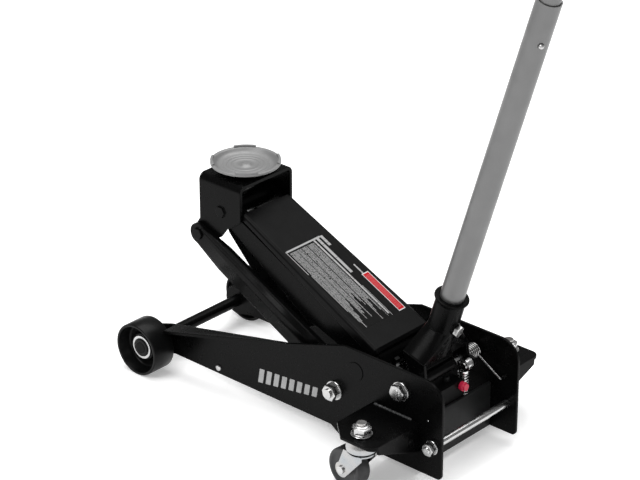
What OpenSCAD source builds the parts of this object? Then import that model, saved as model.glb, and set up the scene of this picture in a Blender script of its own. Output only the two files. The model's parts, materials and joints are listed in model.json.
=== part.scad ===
// Hydraulic floor jack. The lifting end points to -X, the handle leans towards +X,
// +Y is the far side and the floor is z = 0. The origin is on the floor, below the
// middle of the whole jack's box.

/* [Frame] */
// Height of the side plates' top edge behind the arm pivot
plate_top_h = 176; // [170:1:190]
// Height of the side plates' lower edge at the back
plate_foot_h = 14; // [10:1:20]
// Height of the side plates' lower edge ahead of the foot
plate_belly_h = 27; // [24:1:30]
// Thickness of each side plate
plate_t = 5; // [4:0.5:8]
// Distance between the outer faces of the side plates
frame_w = 187; // [180:1:230]
// Radius of the top rear corner of the side plates
plate_corner_r = 35; // [20:1:45]
// Width of the outward flange at the front of each side plate
flange_w = 28; // [16:1:32]
// Distance from the rear edge to the rear cross plate
cross_plate_back = 51; // [45:1:60]
// Height of the rear cross plate's top edge
cross_plate_top_h = 92; // [80:1:100]
// Diameter of the rear tie rod
tie_rod_d = 12; // [8:1:14]

/* [Front axle and wheels] */
// Distance from the rear edge of the side plates to the front axle
axle_back = 600; // [596:1:740]
// Diameter of the front wheels
front_wheel_d = 90; // [80:1:100]
// Width of the front wheels
front_wheel_w = 44; // [34:1:54]
// Diameter of the front axle
axle_d = 20; // [16:1:24]

/* [Rear casters] */
// Distance from the rear edge of the side plates to the caster stems
caster_back = 87; // [80:1:95]
// Distance from the middle of the jack to each caster stem
caster_side = 177; // [168:1:212]
// Height of the upper face of the caster wings
wing_h = 98.5; // [94:0.5:106]
// Diameter of the caster wheels
caster_wheel_d = 66; // [50:1:70]
// Width of the caster wheels
caster_wheel_w = 26; // [20:1:30]
// Distance from the swivel axis to the caster's axle
caster_trail = 26; // [15:1:30]
// Turn of the near caster about its stem, seen from above
near_caster_turn = -5; // [-180:1:180]
// Turn of the far caster about its stem, seen from above
far_caster_turn = 14; // [-180:1:180]

/* [Lift arm] */
// Distance from the rear edge of the side plates to the arm pivot
arm_back = 173; // [165:1:180]
// Height of the arm pivot
arm_pivot_h = 140; // [136:1:150]
// Length of the arm between its pivots
arm_len = 353; // [300:1:356]
// Angle of the arm above level as shown
arm_angle = 26.8; // [10:0.1:45]
// Lowest angle of the arm
arm_low = -11; // [-11:0.5:0]
// Highest angle of the arm
arm_high = 50; // [46:0.5:50]
// Width of the arm's top cover at its front end
arm_cover_w = 107.6; // [104:0.2:108]
// Width of the arm's top cover at its rear end
arm_rear_w = 127; // [120:1:130]
// Diameter of the arm's main shaft
arm_shaft_d = 30; // [24:1:32]
// Distance from the main shaft to the ram pin
lever_len = 46; // [42:1:46]

/* [Links and lifting head] */
// How far each link pivot is ahead of the arm pivot above it
link_lead = 43; // [40:1:46]
// How far each link pivot is below the arm pivot above it
link_drop = 49; // [46:1:50]
// Thickness of each link
link_t = 8; // [6:0.5:9]
// Width of the lifting head
head_w = 122; // [121:1:126]
// Length of the lifting head
head_len = 90; // [80:1:100]
// Height of the lifting head's top face over the arm's top pivot
head_rise = 54; // [50:1:60]
// Diameter of the saddle
saddle_d = 114; // [90:1:125]
// Height of the saddle above the lifting head
saddle_h = 18; // [14:1:24]

/* [Hydraulic unit] */
// Diameter of the ram
ram_d = 30; // [26:1:32]
// Bore of the cylinder
cylinder_bore = 36; // [36:1:38]
// Outside diameter of the reservoir tube
tank_d = 56; // [54:1:58]
// Diameter of the pump plunger
plunger_d = 14; // [10:1:16]
// Distance of the pump plunger from the middle of the jack
plunger_side = 38; // [38:1:42]

/* [Handle] */
// Lean of the handle from upright as shown
handle_lean = 17.1; // [5:0.1:40]
// Outside diameter of the lower handle tube
handle_d = 38.5; // [32:0.5:39]
// Distance from the socket's pivot level to the top of the lower handle tube
lower_tube_end = 671; // [500:1:800]
// Distance from the socket's pivot level to the end of the whole handle
handle_end = 1160; // [900:1:1300]
// Turn of the handle about its own axis
handle_turn = -34; // [-90:1:90]
// Outside diameter of the handle socket
socket_d = 47; // [44:1:50]

/* [Fits] */
// Radial clearance of shafts that turn in bores
running = 0.06; // [0.03:0.01:0.1]
// Gap between faces that move past each other
side_gap = 1; // [0.6:0.1:1.5]

/* [Hidden] */
$fn = 64;
cut = 1;
hull_fn = 32;

// Where the jack's box ends, and so where its middle is
lean_dx = sin(handle_lean);
lean_dz = cos(handle_lean);
socket_back = 81.5;
socket_h = 140;
socket_lead = 20.3;
grip_d = handle_d + 2;
grip_chamfer = 3;
foot_x = -socket_back - socket_lead * lean_dz;
foot_z = socket_h + socket_lead * lean_dx;
tip_x = foot_x + max(handle_end * lean_dx + (grip_d / 2 - grip_chamfer) * lean_dz,
                     (handle_end - grip_chamfer) * lean_dx + grip_d / 2 * lean_dz);
rear_x = (axle_back + front_wheel_d / 2 - tip_x) / 2;

// Frame
plate_out = frame_w / 2;
plate_in = plate_out - plate_t;
axle_x = rear_x - axle_back;
axle_z = front_wheel_d / 2;
nose_r = 26;
foot_r = 8;
slope_top = plate_top_h - 39;
slope_x = rear_x - arm_back - 143;
nose_top = axle_z + nose_r + 8;
nose_x = axle_x + 24;
flange_front = nose_x + 10;
rod_x = rear_x - 19;
rod_z = 66;
rod_nut_af = 19;
front_bolt_x = rear_x - 467;
front_bolt_z = 38;
spring_peg_x = rear_x - 28;
spring_peg_z = 108;
wheel_in = plate_out + 13.5;
wheel_out = wheel_in + front_wheel_w;
wheel_recess = 16;

// Casters
caster_x = rear_x - caster_back;
wing_t = 5.5;
wing_front = rear_x - 140;
wing_rear = rear_x - 43;
wing_side = caster_side + 26;
stem_d = 18;
fork_top = caster_wheel_d / 2 + 38;
fork_t = 3;
fork_gap = caster_wheel_w / 2 + 1.5;
caster_pin_d = 8;

// Lift linkage: arm pivot a, arm top pivot p, link pivots b and q
a_x = rear_x - arm_back;
a_z = arm_pivot_h;
p_x = a_x - arm_len * cos(arm_angle);
p_z = a_z + arm_len * sin(arm_angle);
b_x = a_x - link_lead;
b_z = a_z - link_drop;
q_x = p_x - link_lead;
q_z = p_z - link_drop;
tube_r = 20;
cover_top = 25;
cover_t = 4;
cover_drop = 11;
cover_front = -(arm_len - 35);
cover_rear = 3;
cover_rise = 8;
cover_lip = 5;
cover_tilt = atan2(cover_rise, cover_rear - cover_lip - cover_front);
cover_bend = 6;
bar_out = arm_cover_w / 2 - 9.2;
bar_t = 8;
bar_top = cover_top - cover_t;
panel_out = arm_cover_w / 2 - 0.5;
panel_top = 10;
head_pin_d = 20;
link_pin_d = 16;
link_bolt_d = 16;
head_t = 6;
link_in = head_w / 2 + side_gap;
link_out = link_in + link_t;
head_top = p_z + head_rise;
head_front = p_x - head_len / 2 - 2;
head_rear = head_front + head_len;
head_bend_r = 12;
stem_bore_d = 26;
seat_boss_h = 16;

// Hydraulic unit: the ram pin swings evenly about straight below the arm pivot
lever_angle = arm_angle - (arm_low + arm_high) / 2;
swing = (arm_high - arm_low) / 2;
c_x = a_x - lever_len * sin(lever_angle);
c_z = a_z - lever_len * cos(lever_angle);
ram_z = a_z - lever_len * (1 + cos(swing)) / 2;
ram_pin_d = 16;
pin_slack = 0.6;
slot_lift = lever_len * (1 - cos(swing)) / 2;
ram_pull = 0.965;
slot_x = a_x - lever_len * ram_pull * lever_angle * PI / 180;
ram_head_l = 34;
ram_head_w = 30;
ram_tail_x = slot_x + ram_head_l / 2 + 67.5;
block_front = rear_x - 112;
block_rear = rear_x - cross_plate_back - plate_t;
block_half = 28;
block_top = 121;
bore_end = block_rear - 8;
cylinder_front = rear_x - 121;
tank_front = rear_x - 131;
shelf_out = plunger_side + 16;
plunger_x = block_rear - plunger_d / 2 - 3;
shelf_front = plunger_x - 15;
shelf_top = 84;
piston_l = 7;
lever_in = ram_head_w / 2 + side_gap;
lever_t = 10;
spring_bar_z = ram_z - 33;
spring_side = 36;
spring_d = 13;
anchor_x = rear_x - 96;

// Handle socket, in its own frame: pivot at the origin, z up along the handle
socket_x = rear_x - socket_back;
socket_shaft_d = 16;
cheek_in = 48;
cheek_t = 6;
cheek_r = 16;
web_low = 26;
web_high = 34;
socket_top = 132;
socket_bore = handle_d + 0.8;
handle_foot = 45;
set_level = 83;
groove_w = 12;
groove_depth = 1.5;
roller_x = 21;
roller_r = 10;
roller_w = 12;
plunger_gap = 0.8;
roller_world_x = socket_x + roller_x;
button_level = lower_tube_end - 65;
upper_d = handle_d - 5;
tube_wall = 2;
valve_x = rear_x - 98;
plug_side = 20;
plug_z = 112;

// ---- shapes -------------------------------------------------------------------------

// Rod along Y between y0 and y1
module rod_y(x, z, d, y0, y1) {
    translate([x, y1, z]) rotate([90, 0, 0]) cylinder(d = d, h = y1 - y0);
}

// Rod along X between x0 and x1
module rod_x(x0, x1, y, z, d) {
    translate([x0, y, z]) rotate([0, 90, 0]) cylinder(d = d, h = x1 - x0);
}

// Hexagon along Y, measured across its flats
module hex_y(x, z, af, y0, y1) {
    translate([x, y1, z]) rotate([90, 0, 0]) cylinder(d = af / cos(30), h = y1 - y0, $fn = 6);
}

// Hexagon along Z, measured across its flats
module hex_z(x, y, af, z0, z1) {
    translate([x, y, z0]) cylinder(d = af / cos(30), h = z1 - z0, $fn = 6);
}

// Plate with an outline drawn in X and Z, from y0 to y1
module plate_y(y0, y1) {
    translate([0, y1, 0]) rotate([90, 0, 0]) linear_extrude(y1 - y0) children();
}

// Flat round the circle r1 at p and r2 at q: the two circles and their tangents
module strap(p, q, r1, r2) {
    d = norm(q - p);
    base = atan2(q[1] - p[1], q[0] - p[0]);
    tilt = acos((r1 - r2) / d);
    polygon([for (s = [1, -1]) p + r1 * [cos(base + s * tilt), sin(base + s * tilt)],
             for (s = [-1, 1]) q + r2 * [cos(base + s * tilt), sin(base + s * tilt)]]);
    translate(p) circle(r1);
    translate(q) circle(r2);
}

// Both sides of the jack: the child and its mirror image
module both_sides() {
    children();
    mirror([0, 1, 0]) children();
}

// Turned into the arm's own frame: the arm runs along -X from the origin
module in_arm() {
    translate([a_x, 0, a_z]) rotate([0, arm_angle, 0]) children();
}

// Turned into the handle socket's own frame
module in_socket() {
    translate([socket_x, 0, socket_h]) rotate([0, handle_lean, 0]) children();
}

// Placed on the handle's axis, turned with the handle
module in_handle() {
    in_socket() translate([-socket_lead, 0, 0]) rotate([0, 0, handle_turn]) children();
}

// ---- frame --------------------------------------------------------------------------

module side_outline() {
    difference() {
        union() {
            polygon([
                [rear_x - foot_r, plate_foot_h], [rear_x, plate_foot_h + foot_r],
                [rear_x, plate_top_h - plate_corner_r],
                [rear_x - plate_corner_r, plate_top_h], [a_x - 24, plate_top_h],
                [slope_x, slope_top], [nose_x, nose_top], [axle_x, axle_z + nose_r],
                [axle_x, axle_z - nose_r], [axle_x + 34, plate_belly_h],
                [a_x - 51, plate_belly_h], [a_x - 31, plate_foot_h]]);
            translate([rear_x - plate_corner_r, plate_top_h - plate_corner_r]) circle(plate_corner_r);
            translate([rear_x - foot_r, plate_foot_h + foot_r]) circle(foot_r);
            translate([axle_x, axle_z]) circle(nose_r);
        }
        translate([axle_x, axle_z]) circle(d = axle_d);
        translate([a_x, a_z]) circle(d = arm_shaft_d);
        translate([b_x, b_z]) circle(d = link_bolt_d);
        translate([socket_x, socket_h]) circle(d = socket_shaft_d);
        translate([rod_x, rod_z]) circle(d = tie_rod_d);
        translate([front_bolt_x, front_bolt_z]) circle(d = 6);
        translate([spring_peg_x, spring_peg_z]) circle(d = 5);
    }
}

// Flange bent outwards along the falling top edge, wide at the wheel and gone at the arm
module side_flange() {
    fall = atan2(slope_top - nose_top, slope_x - nose_x);
    run = norm([slope_x - flange_front, slope_top - nose_top]);
    drop = (slope_x - flange_front) * tan(fall);
    translate([flange_front, 0, slope_top - drop]) rotate([0, -fall, 0])
        translate([0, 0, -plate_t]) linear_extrude(plate_t)
            polygon([[0, -plate_out], [0, -plate_out - flange_w], [14, -plate_out - flange_w],
                     [run - 20, -plate_out]]);
}

module side_plate_near() {
    color("dimgray") {
        plate_y(-plate_out, -plate_in) side_outline();
        side_flange();
    }
}

module side_plate_far() {
    color("dimgray") mirror([0, 1, 0]) {
        plate_y(-plate_out, -plate_in) side_outline();
        side_flange();
    }
}

module rear_cross_plate() {
    foot_l = 64;
    color("gray") {
        translate([block_rear, -plate_in, plate_foot_h])
            cube([plate_t, 2 * plate_in, cross_plate_top_h - plate_foot_h]);
        translate([block_rear - foot_l, -plate_in, plate_foot_h])
            cube([foot_l + cut, 2 * plate_in, plate_t]);
    }
}

module tie_rod() {
    color("silver") rod_y(rod_x, rod_z, tie_rod_d, -plate_out - 15, plate_out + 15);
}

module tie_rod_nuts() {
    color("silver") both_sides() {
        difference() {
            union() {
                rod_y(rod_x, rod_z, 24, plate_out, plate_out + 2);
                hex_y(rod_x, rod_z, rod_nut_af, plate_out + 2, plate_out + 12);
            }
            rod_y(rod_x, rod_z, tie_rod_d, plate_out - cut, plate_out + 20);
        }
    }
}

module front_axle() {
    color("dimgray") rod_y(axle_x, axle_z, axle_d, -wheel_out + wheel_recess - 6, wheel_out - wheel_recess + 6);
}

// Ring round a shaft on both sides of the jack
module spacer(x, z, outer, inner, y0, y1) {
    both_sides() difference() {
        rod_y(x, z, outer, y0, y1);
        rod_y(x, z, inner, y0 - cut, y1 + cut);
    }
}

module spacer_tubes() {
    color("dimgray") {
        spacer(axle_x, axle_z, axle_d + 10, axle_d, plate_out, wheel_in - side_gap);
        spacer(a_x, a_z, arm_shaft_d + 8, arm_shaft_d, panel_out + side_gap, plate_in);
        spacer(b_x, b_z, link_bolt_d + 14, link_bolt_d, link_out + side_gap, plate_in);
        spacer(socket_x, socket_h, socket_shaft_d + 6, socket_shaft_d, plate_in - 4, plate_in);
        difference() {
            rod_y(socket_x, socket_h, socket_shaft_d + 6, -cheek_in + side_gap, plunger_side - 12);
            rod_y(socket_x, socket_h, socket_shaft_d, -cheek_in, plunger_side);
        }
    }
}

module axle_washers() {
    color("silver") both_sides() difference() {
        rod_y(axle_x, axle_z, axle_d + 20, wheel_out - wheel_recess + 0.5, wheel_out - wheel_recess + 3);
        rod_y(axle_x, axle_z, axle_d, wheel_in, wheel_out);
    }
}

module axle_caps() {
    color("dimgray") both_sides() difference() {
        rod_y(axle_x, axle_z, axle_d + 5, wheel_out - wheel_recess + 3, wheel_out - wheel_recess + 5);
        rod_y(axle_x, axle_z, axle_d, wheel_in, wheel_out);
    }
}

// Pressed steel wheel: a deep dish outside, a web and a hub
module front_wheel() {
    r = front_wheel_d / 2;
    bore = axle_d / 2 + running;
    edge = 3;
    wall = 5;
    translate([axle_x, 0, axle_z]) rotate([90, 0, 0]) translate([0, 0, wheel_in])
        rotate_extrude() difference() {
            polygon([[bore, 0], [r - edge, 0], [r, edge], [r, front_wheel_w - edge],
                     [r - edge, front_wheel_w], [bore, front_wheel_w]]);
            polygon([[bore - cut, front_wheel_w - wheel_recess], [bore + 13, front_wheel_w - wheel_recess],
                     [bore + 16, front_wheel_w - wheel_recess - 8], [r - wall - 3, front_wheel_w - wheel_recess - 8],
                     [r - wall, front_wheel_w + cut], [bore - cut, front_wheel_w + cut]]);
            polygon([[bore + 9, -cut], [r - wall, -cut], [r - wall - 3, 12], [bore + 9, 12]]);
        }
}

module front_wheel_near() { color("dimgray") front_wheel(); }

module front_wheel_far() { color("dimgray") mirror([0, 1, 0]) front_wheel(); }

// Short bolts near the front of the side plates, each with a nut inside
module plate_bolts() {
    color("silver") both_sides() {
        rod_y(front_bolt_x, front_bolt_z, 6, plate_in - 9, plate_out + 2);
        rod_y(front_bolt_x, front_bolt_z, 11, plate_out, plate_out + 3);
        hex_y(front_bolt_x, front_bolt_z, 10, plate_in - 6, plate_in);
    }
}

// ---- casters ------------------------------------------------------------------------

// Wing that carries a caster: a top plate with a deep flange in front and behind
module caster_wing() {
    corner = 14;
    flange_t = 5;
    root = 50;
    tip = 14;
    difference() {
        union() {
            translate([0, 0, wing_h - wing_t]) linear_extrude(wing_t) {
                polygon([[wing_front, plate_out], [wing_rear, plate_out], [wing_rear, wing_side - corner],
                         [wing_rear - corner, wing_side], [caster_x - 20, wing_side],
                         [wing_front, wing_side - 30]]);
                translate([wing_rear - corner, wing_side - corner]) circle(corner);
            }
            for (x = [wing_front, wing_rear - flange_t]) {
                reach = x == wing_front ? wing_side - 30 : wing_side - corner;
                translate([x, 0, 0]) rotate([90, 0, 90]) linear_extrude(flange_t)
                    polygon([[plate_out, wing_h - wing_t], [reach, wing_h - wing_t],
                             [reach, wing_h - tip], [plate_out, wing_h - root]]);
            }
        }
        translate([caster_x, caster_side, 0]) cylinder(d = stem_d, h = wing_h + cut);
    }
}

module caster_wing_near() { color("dimgray") mirror([0, 1, 0]) caster_wing(); }

module caster_wing_far() { color("dimgray") caster_wing(); }

// Fixed upper race of each swivel, under the wing
module caster_races() {
    race_low = fork_top + side_gap;
    color("silver") both_sides() translate([caster_x, caster_side, 0]) rotate_extrude()
        polygon([[stem_d / 2, wing_h - wing_t], [20, wing_h - wing_t], [24, race_low + 8],
                 [24, race_low + 3], [20, race_low], [stem_d / 2, race_low]]);
}

// A caster is drawn with its stem on the Z axis and its axle ahead of it, towards -X
module place_caster(side, turn) {
    translate([caster_x, side * caster_side, 0]) rotate([0, 0, turn]) children();
}

module caster_fork() {
    top_r = 22;
    crown_t = 3;
    stem_low = fork_top - 2;
    leg_out = fork_gap + fork_t;
    difference() {
        union() {
            translate([0, 0, fork_top - crown_t]) linear_extrude(crown_t) {
                circle(top_r);
                translate([-top_r, -leg_out]) square([top_r + 16, 2 * leg_out]);
            }
            for (y = [-leg_out, fork_gap])
                plate_y(y, y + fork_t) {
                    polygon([[-top_r, fork_top - 1], [16, fork_top - 1],
                             [16, fork_top - 9], [-caster_trail + 12, caster_wheel_d / 2 - 6],
                             [-caster_trail - 12, caster_wheel_d / 2 - 4]]);
                    translate([-caster_trail, caster_wheel_d / 2]) circle(13);
                }
            translate([0, 0, stem_low]) cylinder(d = stem_d - 2 * running, h = wing_h + 6 - stem_low);
            translate([0, 0, stem_low]) cylinder(d = 16, h = wing_h + 21 - stem_low);
        }
        for (y = [-leg_out, fork_gap]) rod_y(-caster_trail, caster_wheel_d / 2, caster_pin_d, y - cut, y + fork_t + cut);
    }
}

module caster_nut() {
    difference() {
        union() {
            translate([0, 0, wing_h + 0.4]) cylinder(d = 34, h = 2.6);
            hex_z(0, 0, 27, wing_h + 3, wing_h + 15);
        }
        cylinder(d = stem_d - 2 * running, h = wing_h + 6);
        cylinder(d = 16, h = wing_h + 30);
    }
}

module caster_axle() {
    leg_out = fork_gap + fork_t;
    rod_y(-caster_trail, caster_wheel_d / 2, caster_pin_d, -leg_out - 1, leg_out + 1);
    rod_y(-caster_trail, caster_wheel_d / 2, 13, -leg_out - 3, -leg_out);
    rod_y(-caster_trail, caster_wheel_d / 2, 13, leg_out, leg_out + 3);
}

module caster_wheel() {
    r = caster_wheel_d / 2;
    half = caster_wheel_w / 2;
    bore = caster_pin_d / 2 + running;
    translate([-caster_trail, 0, r]) rotate([90, 0, 0]) rotate_extrude()
        polygon([[bore, -half], [bore + 6, -half], [bore + 8, -half + 3], [r - 9, -half + 3],
                 [r - 6, -half], [r - 3, -half], [r, -half + 3], [r, half - 3], [r - 3, half],
                 [r - 6, half], [r - 9, half - 3], [bore + 8, half - 3], [bore + 6, half], [bore, half]]);
}

module caster_fork_near() { color("lightgray") place_caster(-1, near_caster_turn) caster_fork(); }

module caster_fork_far() { color("lightgray") place_caster(1, far_caster_turn) caster_fork(); }

module caster_nut_near() { color("silver") place_caster(-1, near_caster_turn) caster_nut(); }

module caster_nut_far() { color("silver") place_caster(1, far_caster_turn) caster_nut(); }

module caster_axle_near() { color("silver") place_caster(-1, near_caster_turn) caster_axle(); }

module caster_axle_far() { color("silver") place_caster(1, far_caster_turn) caster_axle(); }

module caster_wheel_near() { color("dimgray") place_caster(-1, near_caster_turn) caster_wheel(); }

module caster_wheel_far() { color("dimgray") place_caster(1, far_caster_turn) caster_wheel(); }

// ---- lift arm -----------------------------------------------------------------------

module arm_shaft() {
    color("dimgray") rod_y(a_x, a_z, arm_shaft_d, -plate_out - 1, plate_out + 1);
}

// Thin slice of the arm's top cover: flat on top, with rounded upper corners
module cover_slice(x, half, top, low, bend) {
    translate([x, 0, 0]) rotate([90, 0, 90]) linear_extrude(0.1) {
        translate([-half, low]) square([2 * half, top - bend - low]);
        for (s = [-1, 1]) translate([s * (half - bend), top - bend]) circle(bend, $fn = hull_fn);
    }
}

// Pressed top cover, wider and higher at the back, with short sides and a folded rear end
module arm_cover() {
    front = arm_cover_w / 2;
    rear = arm_rear_w / 2;
    low = cover_top - cover_drop;
    back_top = cover_top + cover_rise;
    inner = cover_bend - cover_t;
    color("dimgray") in_arm() difference() {
        hull() {
            cover_slice(cover_front, front, cover_top, low, cover_bend);
            cover_slice(cover_rear - cover_lip, rear, back_top, low + 1, cover_bend);
            cover_slice(cover_rear - 0.1, rear - 2, back_top - 4, low + 1, cover_bend);
        }
        hull() {
            cover_slice(cover_front - 0.1, front - cover_t, bar_top, low - 5, inner);
            cover_slice(cover_rear - cover_t, rear - cover_t, bar_top + cover_rise, low - 5, inner);
        }
        rod_y(0, 0, 2 * tube_r + 1, -rear - cut, rear + cut);
    }
}

// Outline shared by the arm's bars and side panels; its lower edge is given
module arm_outline(top, rear_top, low_edge) {
    difference() {
        union() {
            polygon(concat([[-arm_len, 17], [cover_front, top], [-2, rear_top], [0, -20]], low_edge,
                           [[-arm_len, -17]]));
            translate([-arm_len, 0]) circle(17);
            circle(tube_r + 3.5);
        }
        translate([-arm_len, 0]) circle(d = head_pin_d);
        circle(tube_r);
    }
}

// Two deep bars under the cover, joined by a tube round the head pin
module arm_bars() {
    color("gray") in_arm() {
        for (y = [bar_out - bar_t, -bar_out]) plate_y(y, y + bar_t)
            intersection() {
                arm_outline(bar_top, bar_top + cover_rise - 0.1,
                            [[-112, -34], [-132, -62], [-200, -64], [-272, -57], [-arm_len + 20, -36]]);
                translate([-arm_len - 20, -80]) square([arm_len + 19 + cover_rear - cover_t, 120]);
            }
        difference() {
            rod_y(-arm_len, 0, 34, -bar_out + bar_t - 1, bar_out - bar_t + 1);
            rod_y(-arm_len, 0, head_pin_d, -bar_out, bar_out);
        }
    }
}

// Side panels outside the bars, below the cover's short sides
module arm_panels() {
    color("dimgray") in_arm() both_sides() plate_y(bar_out, panel_out) difference() {
        arm_outline(panel_top, panel_top, [[-112, -34], [-132, -41], [-arm_len + 8, -16]]);
        translate([-cover_t, 12]) square([40, 40]);
    }
}

module arm_tube() {
    color("dimgray") difference() {
        rod_y(a_x, a_z, 2 * tube_r, -panel_out, panel_out);
        rod_y(a_x, a_z, arm_shaft_d + 2 * running, -panel_out - cut, panel_out + cut);
    }
}

// Two levers that carry the ram pin below the arm's tube
module arm_levers() {
    color("dimgray") both_sides() plate_y(lever_in, lever_in + lever_t) difference() {
        strap([a_x, a_z], [c_x, c_z], 25, 13);
        translate([a_x, a_z]) circle(tube_r);
        translate([a_x, a_z]) rotate(-arm_angle) translate([-40, 12]) square([80, 40]);
        translate([c_x, c_z]) circle(d = ram_pin_d);
    }
}

module ram_pin() {
    color("silver") rod_y(c_x, c_z, ram_pin_d, -lever_in - lever_t - 2, lever_in + lever_t + 2);
}

// Thin printed label on the arm's top cover
module arm_label() {
    color("white") in_arm() translate([cover_front, 0, cover_top]) rotate([0, -cover_tilt, 0])
        translate([95, -50, 0]) cube([182, 100, 0.4]);
}

// ---- lifting head and saddle --------------------------------------------------------

module head_pin() {
    color("dimgray") {
        rod_y(p_x, p_z, head_pin_d - 2 * running, -head_w / 2, head_w / 2);
        both_sides() hex_y(p_x, p_z, 17, head_w / 2 - cut, head_w / 2 + 3);
    }
}

module head_outline() {
    polygon([[head_front, head_top], [head_rear, head_top], [head_rear, p_z - 6], [p_x + 10, p_z - 30],
             [p_x - 2, p_z - 46], [q_x + 2, q_z - 17], [q_x, q_z], [q_x - 14, q_z + 9], [head_front, q_z + 24]]);
    translate([q_x, q_z]) circle(17);
}

// Folded plate: two cheeks and a top with rounded edges, bored for the saddle's stem
module lifting_head() {
    half = head_w / 2;
    r = head_bend_r;
    inner = r - head_t;
    low = q_z - 20;
    color("dimgray") difference() {
        union() {
            intersection() {
                plate_y(-half, half) head_outline();
                translate([head_front - 20, 0, 0]) rotate([90, 0, 90]) linear_extrude(head_len + 40) difference() {
                    union() {
                        translate([-half, low]) square([2 * half, head_top - r - low]);
                        translate([-half + r, low]) square([2 * (half - r), head_top - low]);
                        for (s = [-1, 1]) translate([s * (half - r), head_top - r]) circle(r);
                    }
                    translate([-half + head_t, low - cut]) square([2 * (half - head_t), head_top - r - low + cut]);
                    translate([-half + r, low - cut]) square([2 * (half - r), head_top - head_t - low + cut]);
                    for (s = [-1, 1]) translate([s * (half - r), head_top - r]) circle(inner);
                }
            }
            translate([p_x - 2, 0, head_top - seat_boss_h]) cylinder(d = stem_bore_d + 12, h = seat_boss_h - 1);
        }
        rod_y(p_x, p_z, head_pin_d - 2 * running, -half - cut, half + cut);
        rod_y(q_x, q_z, link_pin_d, -half - cut, half + cut);
        translate([p_x - 2, 0, 0]) cylinder(d = stem_bore_d + 2 * running, h = head_top + cut);
    }
}

// Round cupped saddle with four raised lugs on its rim and a stem below
module saddle() {
    r = saddle_d / 2;
    base = 0.3;
    floor_z = saddle_h - 8;
    lug_h = 3;
    color("gray") translate([p_x - 2, 0, head_top]) {
        rotate_extrude() {
            polygon([[0, base], [r - 26, base], [r - 10, saddle_h - lug_h - 8], [r, saddle_h - lug_h - 4],
                     [r, saddle_h - lug_h], [r - 5, saddle_h - lug_h], [r - 9, floor_z - lug_h + 2],
                     [r - 34, floor_z - lug_h], [12, floor_z - lug_h], [9, floor_z - lug_h + 2.5], [0, floor_z - lug_h + 2.5]]);
            translate([0, -seat_boss_h - 6]) square([stem_bore_d / 2, seat_boss_h + 6 + base + 1]);
        }
        for (i = [0 : 3]) rotate([0, 0, 45 + 90 * i]) rotate([0, 0, -19])
            rotate_extrude(angle = 38) translate([r - 4.6, saddle_h - lug_h - 1]) square([4.2, lug_h + 1]);
    }
}

// ---- links --------------------------------------------------------------------------

module link_outline() {
    q = [q_x, q_z];
    b = [b_x, b_z];
    side = [sin(arm_angle), cos(arm_angle)];
    mid = q + 62 * [cos(arm_angle), -sin(arm_angle)];
    difference() {
        union() {
            polygon([q - 16.5 * side, q + 16.5 * side, mid + 24.5 * side, b + 27 * side,
                     b - 27 * side, mid - 24.5 * side]);
            translate(q) circle(17.5);
            translate(b) circle(28);
        }
        translate(q) circle(d = link_pin_d + 2 * running);
        translate(b) circle(d = link_bolt_d + 2 * running);
    }
}

module link_near() { color("dimgray") plate_y(-link_out, -link_in) link_outline(); }

module link_far() { color("dimgray") plate_y(link_in, link_out) link_outline(); }

module link_pins() {
    color("dimgray") both_sides() {
        rod_y(q_x, q_z, link_pin_d, head_w / 2 - head_t - 4, link_out + 0.5);
        rod_y(q_x, q_z, link_pin_d + 6, head_w / 2 - head_t - 4, head_w / 2 - head_t);
        hex_y(q_x, q_z, 18, link_out + 0.5, link_out + 3.5);
    }
}

module link_bolts() {
    color("silver") both_sides() {
        rod_y(b_x, b_z, link_bolt_d, link_in - side_gap, plate_out + 19);
        hex_y(b_x, b_z, 22, link_in - side_gap - 6, link_in - side_gap);
    }
}

module link_nuts() {
    color("silver") both_sides() difference() {
        union() {
            rod_y(b_x, b_z, 32, plate_out, plate_out + 2.5);
            hex_y(b_x, b_z, 24, plate_out + 2.5, plate_out + 15);
        }
        rod_y(b_x, b_z, link_bolt_d, plate_out - cut, plate_out + 30);
    }
}

// ---- hydraulic unit -----------------------------------------------------------------

module pump_block() {
    block_foot = plate_foot_h + plate_t;
    color("dimgray") difference() {
        union() {
            translate([block_front, -block_half, block_foot])
                cube([block_rear - block_front, 2 * block_half, block_top - block_foot]);
            translate([shelf_front, block_half - cut, block_foot])
                cube([block_rear - shelf_front, shelf_out - block_half + cut, shelf_top - block_foot]);
            rod_y(anchor_x, spring_bar_z, 8, -spring_side - 8, spring_side + 8);
        }
        rod_x(block_front - cut, bore_end, 0, ram_z, cylinder_bore);
        translate([plunger_x, plunger_side, 40]) cylinder(d = plunger_d + 2 * running, h = shelf_top);
        translate([valve_x, 0, block_top - 3]) cylinder(d = 12 + 2 * running, h = 4);
        rod_x(block_rear - 5, block_rear + cut, plug_side, plug_z, 10);
    }
}

module cylinder_tube_outline(x0, x1, outer, inner) {
    difference() {
        rod_x(x0, x1, 0, ram_z, outer);
        rod_x(x0 - cut, x1 + cut, 0, ram_z, inner);
    }
}

module cylinder_sleeve() { cylinder_tube_outline(cylinder_front, block_front, cylinder_bore + 8, cylinder_bore); }

module reservoir_tube() {
    color("dimgray") cylinder_tube_outline(cylinder_front, block_front, tank_d, tank_d - 6);
}

// Front cap of the tank, which also guides the ram
module tank_cap() {
    color("dimgray") cylinder_tube_outline(tank_front, cylinder_front, tank_d, ram_d + 2 * running);
}

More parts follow.
